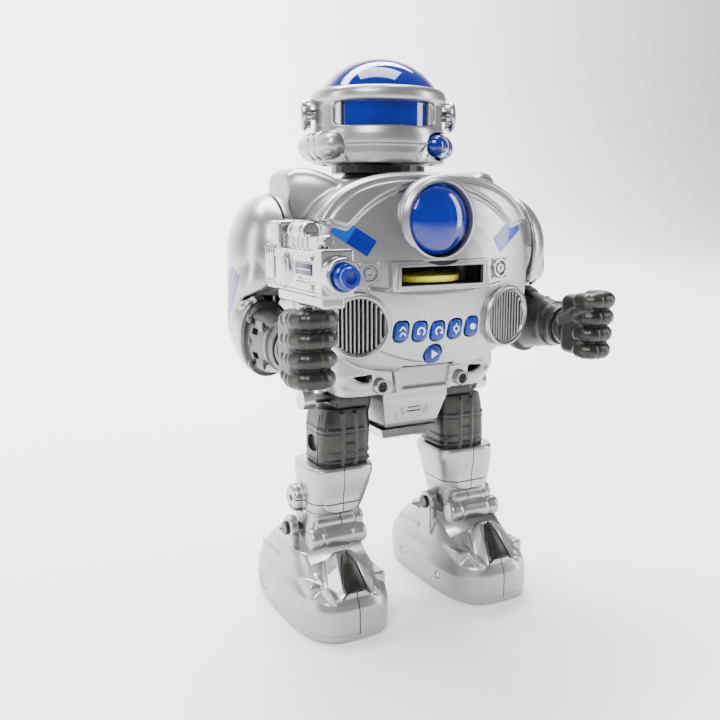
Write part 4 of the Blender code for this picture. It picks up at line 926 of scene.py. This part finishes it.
def make_fist(side, name, grip):
    wrist = turned([(0.4, 0), (9.4, 0), (10.4, 0.8), (10.4, 4.4), (9.6, 5.2), (0.4, 5.2)],
                   (ARM_X, WRIST_Y - 0.3, WRIST_Z), (0, -1, 0), 64)
    stub = rod((ARM_X, FIST_Y + 15.8, WRIST_Z), (0, -1, 0), 20, 4, 24)
    parts = [box((73.4, FIST_Y - 21, 145.4), (94.2, FIST_Y - 0.8, 178.2), 4.5, 5)]
    for i in range(4):
        z = 148.5 + 9.15 * i
        shift = 0.7 * (3 - i)
        joints = [(89.6, FIST_Y - 7, 4.3), (90.6, FIST_Y - 17 + shift, 4.9), (88.0, FIST_Y - 23.8 + shift, 4.8),
                  (81.4, FIST_Y - 24.4 + shift, 4.6), (76.4 + shift * 0.3, FIST_Y - 23.4 + shift, 4.4),
                  (75.4 + shift * 0.3, FIST_Y - 15, 4.0)]
        for (xa, ya, ra), (xb, yb, rb) in zip(joints, joints[1:]):
            a, b = Vector((xa, ya, z)), Vector((xb, yb, z))
            along = (b - a).normalized()
            parts.append(capsule(a + along * 1.5, b - along * 1.5, ra, rb, 32))
            parts.append(ball(a, (ra - 0.9,) * 3, 24, 16))
    parts.append(capsule((76.4, FIST_Y - 3, 164), (74.6, FIST_Y - 15, 169), 4.4, 4.0, 28))
    parts.append(capsule((74.6, FIST_Y - 15, 169), (76, FIST_Y - 22, 171.5), 3.9, 3.2, 28))
    for i in range(4):
        parts.append(ball((93.6, FIST_Y - 8.6, 149.5 + 8.6 * i), (1.5, 3.0, 2.8), 20, 12))
    parts = [raised(part, HAND_RISE) for part in parts]
    shape = moulded(merged([*parts, wrist, stub]), 0.36, 1)
    hole = rod((ARM_X, FIST_Y - 13, 165), (0, 0, 1), 30, 4.5, 32)
    if not grip:
        hole = rod((90, FIST_Y - 4, WRIST_Z), (1, 0, 0), 10, 1.5, 24)
    piece(name + "_hand_fist", name + "_hand", "gunmetal", mirrored(carve(shape, cuts=[hole]), side),
          replaces=[name + "_fist"])


def make_gun(side):
    y0 = GUN_Y
    parts = [box((76, y0 - 61, 187), (90, y0 - 15, 206.5), 1.2, 3), box((77.2, y0 - 17, 186.4), (88.8, y0 - 0.3, 205.6), 1.0, 3),
             box((75.3, y0 - 69.6, 187.2), (90.7, y0 - 61.5, 207.6), 0.9, 3), box((77.5, y0 - 65.5, 181.8), (88.5, y0 - 14, 189), 1.4, 3),
             box((80, y0 - 56, 205), (86, y0 - 12, 212.5), 0.8), box((77.2, y0 - 17.6, 206), (88.8, y0 - 5.2, 218.6), 1.6, 3),
             turned([(3.2, 0), (4.4, 0.8), (4.4, 3), (3.6, 3.4), (3.6, 6), (4.4, 6.4), (4.4, 14), (3.8, 14.5), (3.8, 17), (4.5, 17.5), (4.5, 19), (3.4, 19.5)],
                    (ARM_X, y0 - 24, 214), (0, -1, 0), 40),
             turned([(2.4, 0), (2.8, 0.6), (2.8, 15), (2.2, 16)], (ARM_X, y0 - 45, 210.4), (0, -1, 0), 32),
             turned([(8.4, 0), (8.4, 1.0), (7.4, 2.0), (5.6, 2.7), (3.0, 3.0), (0.4, 3.0)], (89.4, y0 - 28, 197), (1, 0, 0), 48),
             pipe_ring(7.9, 5.3, (ARM_X, y0 - 75.4, 196.5), (0, 1, 0), 6.5, 56, 0.7),
             rod((ARM_X, FIST_Y - 13, 168), (0, 0, 1), 20, 3.9, 32)]
    for i in range(5):
        parts.append(box((76.4, y0 - 1.9 - 3.1 * i, 188.5), (89.6, y0 - 0.5 - 3.1 * i, 207.4), 0.35))
    for i in range(4):
        parts.append(box((79.4, y0 - 29.4 - 5.4 * i, 206), (86.6, y0 - 26.6 - 5.4 * i, 213.4 - 0.2 * i), 0.5))
    parts += [box((88.6, y0 - 60, 189), (91.2, y0 - 42, 193), 0.7), box((88.6, y0 - 60, 201.5), (91.2, y0 - 40, 205), 0.7),
              box((88.4, y0 - 14.5, 191), (90.4, y0 - 3, 203), 0.8), box((77.8, y0 - 30, 218), (82, y0 - 6, 218.9), 0.3)]
    shape = moulded(merged(parts), 0.36, 1)
    seam = carve(box((70, y0 - 66, 188.9), (96, y0 - 12, 189.3)), cuts=[box((77.8, y0 - 80, 180), (88.2, y0, 200))])
    bore = rod((ARM_X, y0 - 90, 196.5), (0, 1, 0), 32, 5.3, 40)
    lines = [box((70, y0 - 58.5, 194.2), (96, y0 - 43.5, 194.7)), box((90.2, y0 - 59, 195.6), (96, y0 - 42, 200.6), 0.5)]
    keep = carve(lines[0], cuts=[box((77, y0 - 80, 180), (89.4, y0, 210))])
    piece("gun_shell", "right_hand", "bright_silver", mirrored(raised(carve(shape, cuts=[seam, bore, keep]), GUN_RISE), side), replaces=["gun_body"])
    inset = box((89.7, y0 - 58.4, 195.8), (90.35, y0 - 40.5, 200.8), 0.2)
    piece("gun_inset", "right_hand", "inner_plastic", mirrored(raised(inset, GUN_RISE), side), finish=NAVY)
    piece("gun_inset_line", "right_hand", "inner_plastic", mirrored(raised(box((90.2, y0 - 57, 198.1), (90.45, y0 - 42, 198.5), 0.05), GUN_RISE), side), finish=WHITE)
    rows = [(0.4, 0), (4.2, 0), (4.2, 15.2), (4.6, 15.8), (5.4, 16), (5.6, 16.4), (5.6, 19.6), (5.2, 20.1), (4.6, 20.3), (4.6, 22.8), (4.2, 23.3), (2.6, 23.3), (2.4, 21.5), (0.4, 21.4)]
    piece("gun_muzzle_tip", "right_hand", "blue_clear", mirrored(raised(turned(rows, (ARM_X, y0 - 59, 196.5), (0, -1, 0), 56), GUN_RISE), side), replaces=["gun_muzzle"], sharp=35)


# ---------------------------------------------------------------- legs

def squarish(x, y, z, half_x, half_y, power=4.0, count=64):
    return [P(x + a, y + b, z) for a, b in oval(count, half_x, half_y, power)]


def make_thigh(side, name):
    rows = [(38.8, HIP_Y - 2, 80, 12.8, 12.3), (38.8, HIP_Y - 1.8, 86, 14.2, 13.8), (38.8, HIP_Y - 1.5, 92, 15.0, 14.6), (38.2, HIP_Y - 1, 102, 15.2, 15.4),
            (37.8, HIP_Y - 0.5, 112, 14.9, 15.6), (37.2, HIP_Y - 0.5, 119.6, 13.8, 15.0)]
    body = loft([squarish(*row, power=4.5) for row in smoothed(rows, 4)])
    parts = [body, turned([(0.4, 0), (13.6, 0), (14.3, 0.7), (14.3, 19.2), (13.6, 19.9), (0.4, 19.9)], (23.5, HIP_Y, HIP_Z), (1, 0, 0), 64)]
    for z, grow in ((107, 0.7), (104.4, 0.5), (89.4, 0.9), (94, 0.5)):
        parts.append(loft([squarish(38.2, HIP_Y - 1, z + lift, 15.1 + more, 15.3 + more, 4.5) for lift, more in ((0, 0), (0.4, grow * 0.5), (1.4, grow * 0.5), (1.8, 0))]))
    for x in (33.6, 41.4):
        parts.append(box((x, HIP_Y - 17.0, 84), (x + 1.6, HIP_Y - 13, 118), 0.5))
    parts.append(box((32.6, HIP_Y - 16.7, 96), (44, HIP_Y - 13, 101), 0.8))
    shape = moulded(merged(parts), 0.5, 2)
    cuts = [rod((0, HIP_Y, HIP_Z), (1, 0, 0), 70, 3.2, 32)]
    well = loft([[P(x, HIP_Y - 1 + a, 99 + b) for a, b in oval(40, 6.5, 4.6, 2.4)] for x in (51.6, 60)])
    cuts.append(well)
    for y in (HIP_Y - 8, HIP_Y + 6):
        cuts.append(box((51.6, y - 0.4, 84), (60, y + 0.4, 118)))
    piece(name + "_thigh_shell", name + "_leg", "gunmetal", mirrored(carve(shape, cuts=cuts), side), replaces=[name + "_thigh"])


def make_shin(side, name):
    rows = [(SHIN_X, ANKLE_Y - 1, 42.2, 12.6, 8.6), (SHIN_X, ANKLE_Y - 1.5, 50, 15.2, 12.2), (44, ANKLE_Y - 2, 58, 15.5, 14.6),
            (42.5, ANKLE_Y - 3.5, 68, 16.9, 17.0), (41, HIP_Y - 0.5, 80, 18.6, 18.6), (40.6, HIP_Y, 85, 18.9, 18.7), (40.6, HIP_Y, 87.6, 18.4, 18.2)]
    body = loft([squarish(*row, power=4.2) for row in smoothed(rows, 4)])
    tube = turned([(0.4, 0), (4.8, 0), (5.9, 1.0), (6.2, 2.2), (6.2, 7), (5.7, 7.5), (5.7, 8.5), (6.2, 9), (6.2, 25), (5.7, 25.5), (5.7, 26.5), (6.2, 27),
                   (6.2, 31.8), (5.9, 33), (4.8, 34), (0.4, 34)], (SHIN_X - 17, ANKLE_Y - 17.5, 47.5), (1, 0, 0), 48)
    web = box((SHIN_X - 12.2, ANKLE_Y - 18.5, 46.5), (SHIN_X + 12.2, ANKLE_Y - 4, 57.5), 1.4, 3)
    pod = turned([(0.4, 0), (8, 0), (8, 4.6), (7.4, 5.8), (6.4, 6.6), (5.4, 6.8), (4.8, 6.2), (0.4, 6.2)], (58, ANKLE_Y + 2, 66.5), (1, 0, 0), 48)
    collar = loft([squarish(40.6, HIP_Y, z, 18.9 + more, 18.8 + more, 4.2) for z, more in ((81.4, 0), (82, 0.35), (86.4, 0.35), (87.4, -0.6))])
    shield = loft([[P(SHIN_X - 3 + a, ANKLE_Y - 17.4 - d, 69.5 + b) for a, b in oval(40, 10.5 - s, 8.6 - s, 3.5)] for d, s in ((0, 0), (3.0, 0), (3.8, 1.2))])
    solid = moulded(merged([body, tube, web, pod, collar, shield]), 0.6, 3)
    pocket = loft([squarish(*row, count=32) for row in ((38.8, HIP_Y - 2, 79.5, 13.5, 13), (38.8, HIP_Y - 1.5, 92, 15.9, 15.5), (38.8, HIP_Y - 1.5, 99, 15.9, 15.5))])
    cuts = [pocket, rod((0, ANKLE_Y, ANKLE_Z), (1, 0, 0), 90, 2.7, 32), box((SHIN_X - 3.3, -80, 54), (SHIN_X - 2.8, ANKLE_Y - 10, 90))]
    for z in (61.4, 66.6):
        cuts.append(carve(loft([squarish(43.4, ANKLE_Y - 3, z + lift, 22, 22, 4.2) for lift in (0, 0.7)]),
                          cuts=[loft([squarish(43.2, ANKLE_Y - 2.6, z - 1 + lift, 15.4, 15.2, 4.2) for lift in (0, 3)])]))
    cuts.append(rod((55, ANKLE_Y + 2, 66.5), (1, 0, 0), 12, 2.0, 24))
    piece(name + "_shin_shell", name + "_leg", "silver_paint", mirrored(carve(solid, cuts=cuts), side), replaces=[name + "_shin"])
    bolt = turned([(0.3, 0), (1.9, 0), (1.9, 4.6), (1.4, 5.2), (0.3, 5.2)], (58.4, ANKLE_Y + 2, 66.5), (1, 0, 0), 24)
    piece(name + "_shin_bolt", name + "_leg", "gunmetal", mirrored(bolt, side))


def toe_fin(grow=0.0):
    rows = [(4, 24.0, 28.0, 8.0), (7.5, 24.0, 31.0, 8.5), (13.5, 30.0, 39.5, 6.0), (18, 36.0, 45.0, 2.5)]
    rings = []
    for back, low, high, w in rows:
        y, w, low, high = TOE_Y + back, w + grow, low - grow, high + grow
        rings.append([P(FOOT_X - w, y, low), P(FOOT_X - w * 0.8, y, high - 2.5), P(FOOT_X, y, high), P(FOOT_X + w * 0.8, y, high - 2.5), P(FOOT_X + w, y, low)])
    if grow:
        for point in rings[0]:
            point.y -= grow * MM
        for point in rings[-1]:
            point.y += grow * MM
    return loft(rings)


def make_foot(side, name):
    rows = [(0, 26.6, 51, 0), (0.6, 27.2, 51.7, 0), (3.0, 27.4, 52, 0), (3.4, 27.0, 51.6, 0), (4.0, 27.0, 51.6, 0), (4.4, 27.8, 52.3, 0), (16, 27.8, 52.3, 0),
            (18, 27.4, 52, 0), (22, 26.5, 50.5, 0), (27, 24.3, 44.6, 2), (34, 22.4, 35.8, 4), (39.4, 21.3, 28, 4), (40, 20.6, 27.4, 4)]
    sole = loft([squarish(FOOT_X, FOOT_MID_Y + dy, z, half_x, half_y, 3.2, 96) for z, half_x, half_y, dy in rows])
    instep = loft([[P(FOOT_X - w, y, 20), P(FOOT_X - w, y, z - 5), P(FOOT_X - w * 0.45, y, z), P(FOOT_X + w * 0.45, y, z), P(FOOT_X + w, y, z - 5), P(FOOT_X + w, y, 20)]
                   for y, z, w in ((TOE_Y + 3.5, 26.5, 11), (TOE_Y + 7.5, 29, 14), (TOE_Y + 14.5, 38, 13), (TOE_Y + 19.5, 43, 11), (TOE_Y + 24.5, 42, 10))])
    parts = [sole, instep]
    for x in (SHIN_X - 22.3, SHIN_X + 16.3):
        parts.append(turned([(0.4, 0), (6.6, 0), (7, 0.6), (7, 5.4), (6.6, 6), (0.4, 6)], (x, ANKLE_Y, ANKLE_Z), (1, 0, 0), 48))
        parts.append(box((x + 0.2, ANKLE_Y - 6.4, 30), (x + 5.8, ANKLE_Y + 6.4, ANKLE_Z + 1), 0.8))
    for edge in (-1, 1):
        parts.append(box((FOOT_X + edge * 19.5 - 3.5, TOE_Y + 14, 20), (FOOT_X + edge * 19.5 + 3.5, TOE_Y + 40, 29.5), 1.4, 3))
        parts.append(box((FOOT_X + edge * 21 - 2.8, TOE_Y + 58, 24), (FOOT_X + edge * 21 + 2.8, TOE_Y + 84, 33), 1.4, 3))
        parts.append(capsule((FOOT_X + edge * 13, TOE_Y + 5, 23.5), (FOOT_X + edge * 15.5, TOE_Y + 22, 30), 2.0, 2.4, 20))
    solid = moulded(merged(parts), 0.7, 3)
    well = rod((SHIN_X - 17.7, ANKLE_Y, ANKLE_Z), (1, 0, 0), 35.4, 27.6, 72)
    room = carve(rod((FOOT_X - 14.6, 26, 10.5), (1, 0, 0), 29.2, 11.3, 48), joins=[box((FOOT_X - 14.4, 25, -5), (FOOT_X + 14.4, 46, 20))])
    cuts = [well, rod((0, ANKLE_Y, ANKLE_Z), (1, 0, 0), 90, 2.7, 32), room, toe_fin(0.35), box((FOOT_X - 0.3, -80, 3), (FOOT_X + 0.3, TOE_Y + 4.5, 30))]
    for i in range(3):
        groove = loft([squarish(FOOT_X, FOOT_MID_Y, 6.2 + 3.4 * i + lift, 40, 70, 3.2, 48) for lift in (0, 0.9)])
        hold = loft([squarish(FOOT_X, FOOT_MID_Y, 5 + 3.4 * i + lift, 27.0, 51.4, 3.2, 96) for lift in (0, 4)])
        patch = box((FOOT_X + 12 - 0, HEEL_Y - 38 + 3 * i, 0), (FOOT_X + 40, HEEL_Y + 8, 30))
        cuts.append(carve(groove, cuts=[hold], within=[patch]))
    for y in (TOE_Y + 30, TOE_Y + 72):
        cuts.append(rod((FOOT_X - 40, y, 11), (1, 0, 0), 14.5, 2.4, 24))
    piece(name + "_boot", name + "_foot", "silver_paint", mirrored(carve(solid, cuts=cuts), side), replaces=[name + "_foot"])
    piece(name + "_toe_fin", name + "_foot", "gunmetal", mirrored(toe_fin(), side), replaces=[name + "_toe_insert"], bevel=0.7)
    screws = []
    for y in (TOE_Y + 30, TOE_Y + 72):
        screws.append(turned([(0.3, 0), (2.0, 0), (2.0, 0.8), (1.6, 1.2), (0.3, 1.2)], (FOOT_X - 26.0, y, 11), (-1, 0, 0), 24))
    piece(name + "_boot_screws", name + "_foot", "motor_steel", mirrored(merged(screws), side))
    rim = turned([(0.4, -24.1), (3.6, -24.1), (4, -23.7), (4, -22.8), (2.3, -22.6), (2.3, 22.6), (4, 22.8), (4, 23.7), (3.6, 24.1), (0.4, 24.1)], (SHIN_X, ANKLE_Y, ANKLE_Z), (1, 0, 0), 40)
    piece(name + "_ankle_pin_fine", name + "_foot", "gunmetal", mirrored(rim, side), replaces=[name + "_ankle_pin"])
    grip = [(8.6, -13.9), (9.6, -13.9), (10.3, -13.2)]
    for i in range(9):
        grip += [(10.3, -12.6 + 2.9 * i), (10.3, -11.0 + 2.9 * i), (9.7, -10.8 + 2.9 * i), (9.7, -10.0 + 2.9 * i)]
    grip = grip[:-2] + [(10.3, 13.2), (9.6, 13.9), (8.6, 13.9)]
    piece(name + "_roller_tread", name + "_roller", "grey_rubber", mirrored(turned(grip, (FOOT_X, 26, 10.5), (1, 0, 0), 64), side), replaces=[name + "_heel_roller"])


# ---------------------------------------------------------------- scene

def backdrop():
    """A pale floor that curves up into a wall far behind."""
    outline = [(-4.0, -0.0004), (2.2, -0.0004)]
    outline += [(2.2 + 1.2 * math.sin(math.radians(a)), 1.2 - 1.2 * math.cos(math.radians(a))) for a in range(5, 91, 5)]
    outline.append((3.4, 5.0))
    shape = bmesh.new()
    left = [shape.verts.new((-6, y, z)) for y, z in outline]
    right = [shape.verts.new((6, y, z)) for y, z in outline]
    for i in range(len(outline) - 1):
        shape.faces.new((left[i], right[i], right[i + 1], left[i + 1]))
    mesh = bpy.data.meshes.new("floor")
    shape.to_mesh(mesh)
    shape.free()
    mesh.shade_smooth()
    made, tree, shader = nodes_of("pale_floor")
    cloud = noise(tree, 3, 2.0)
    tree.links.new(tinted(tree, cloud.outputs["Fac"], (0.86, 0.86, 0.86), (0.88, 0.88, 0.88)), shader.inputs["Base Color"])
    shader.inputs["Roughness"].default_value = 0.6
    shader.inputs["Emission Color"].default_value = (1, 1, 1, 1)
    shader.inputs["Emission Strength"].default_value = 0.22
    mesh.materials.append(made)
    floor = bpy.data.objects.new("floor", mesh)
    bpy.context.scene.collection.objects.link(floor)


def area_light(name, place, target, size, power, tint=(1, 1, 1)):
    data = bpy.data.lights.new(name, 'AREA')
    data.shape = 'RECTANGLE'
    data.size, data.size_y = size
    data.energy = power
    data.color = tint
    lamp = bpy.data.objects.new(name, data)
    lamp.location = place
    lamp.rotation_euler = (Vector(target) - Vector(place)).to_track_quat('-Z', 'Y').to_euler()
    bpy.context.scene.collection.objects.link(lamp)


def studio():
    world = bpy.data.worlds.new("studio")
    bpy.context.scene.world = world
    world.use_nodes = True
    world.node_tree.nodes["Background"].inputs["Color"].default_value = (0.92, 0.95, 1.0, 1)
    world.node_tree.nodes["Background"].inputs["Strength"].default_value = 0.32
    middle = (0, 0.03, 0.17)
    area_light("key", (-1.0, -0.9, 1.2), middle, (0.7, 0.7), 27)
    area_light("fill", (1.3, -0.7, 0.5), middle, (0.35, 1.2), 15)
    area_light("strip", (-1.4, 0.3, 0.5), middle, (0.3, 1.2), 10)
    area_light("top", (0.1, 0.2, 1.5), middle, (0.9, 0.6), 22)
    area_light("back", (0.2, 1.5, 2.6), (0, 2.8, 0.2), (3.4, 1.2), 420)


def camera():
    data = bpy.data.cameras.new("camera")
    data.sensor_width = 36
    data.lens = 42.3
    data.shift_x = -0.025
    eye = bpy.data.objects.new("camera", data)
    turn = math.radians(28)
    eye.location = (-0.5 * math.sin(turn), AXIS.y - 0.5 * math.cos(turn), 0.230)
    eye.rotation_euler = (math.radians(79.5), 0, -turn)
    bpy.context.scene.collection.objects.link(eye)
    bpy.context.scene.camera = eye


def finish_kept_nodes():
    """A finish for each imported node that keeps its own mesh."""
    slots = {part["node"]: part["material_slot"] for part in frame["record"]["subparts"]}
    special = {"circuit_board": BOARD}
    for node, thing in frame["nodes"].items():
        finish = special.get(node) or SLOT_FINISH[slots[node]]
        thing.data.materials.clear()
        thing.data.materials.append(finish)


def main():
    finish_kept_nodes()
    make_chest()
    make_back()
    make_buttons()
    make_chest_fittings()
    make_yoke()
    make_pelvis()
    make_head()
    for side, name in ((-1, "right"), (1, "left")):
        make_upper_arm(side, name)
        make_glove(side, name)
        make_fist(side, name, side < 0)
        make_thigh(side, name)
        make_shin(side, name)
        make_foot(side, name)
    make_gun(-1)
    backdrop()
    studio()
    camera()


main()
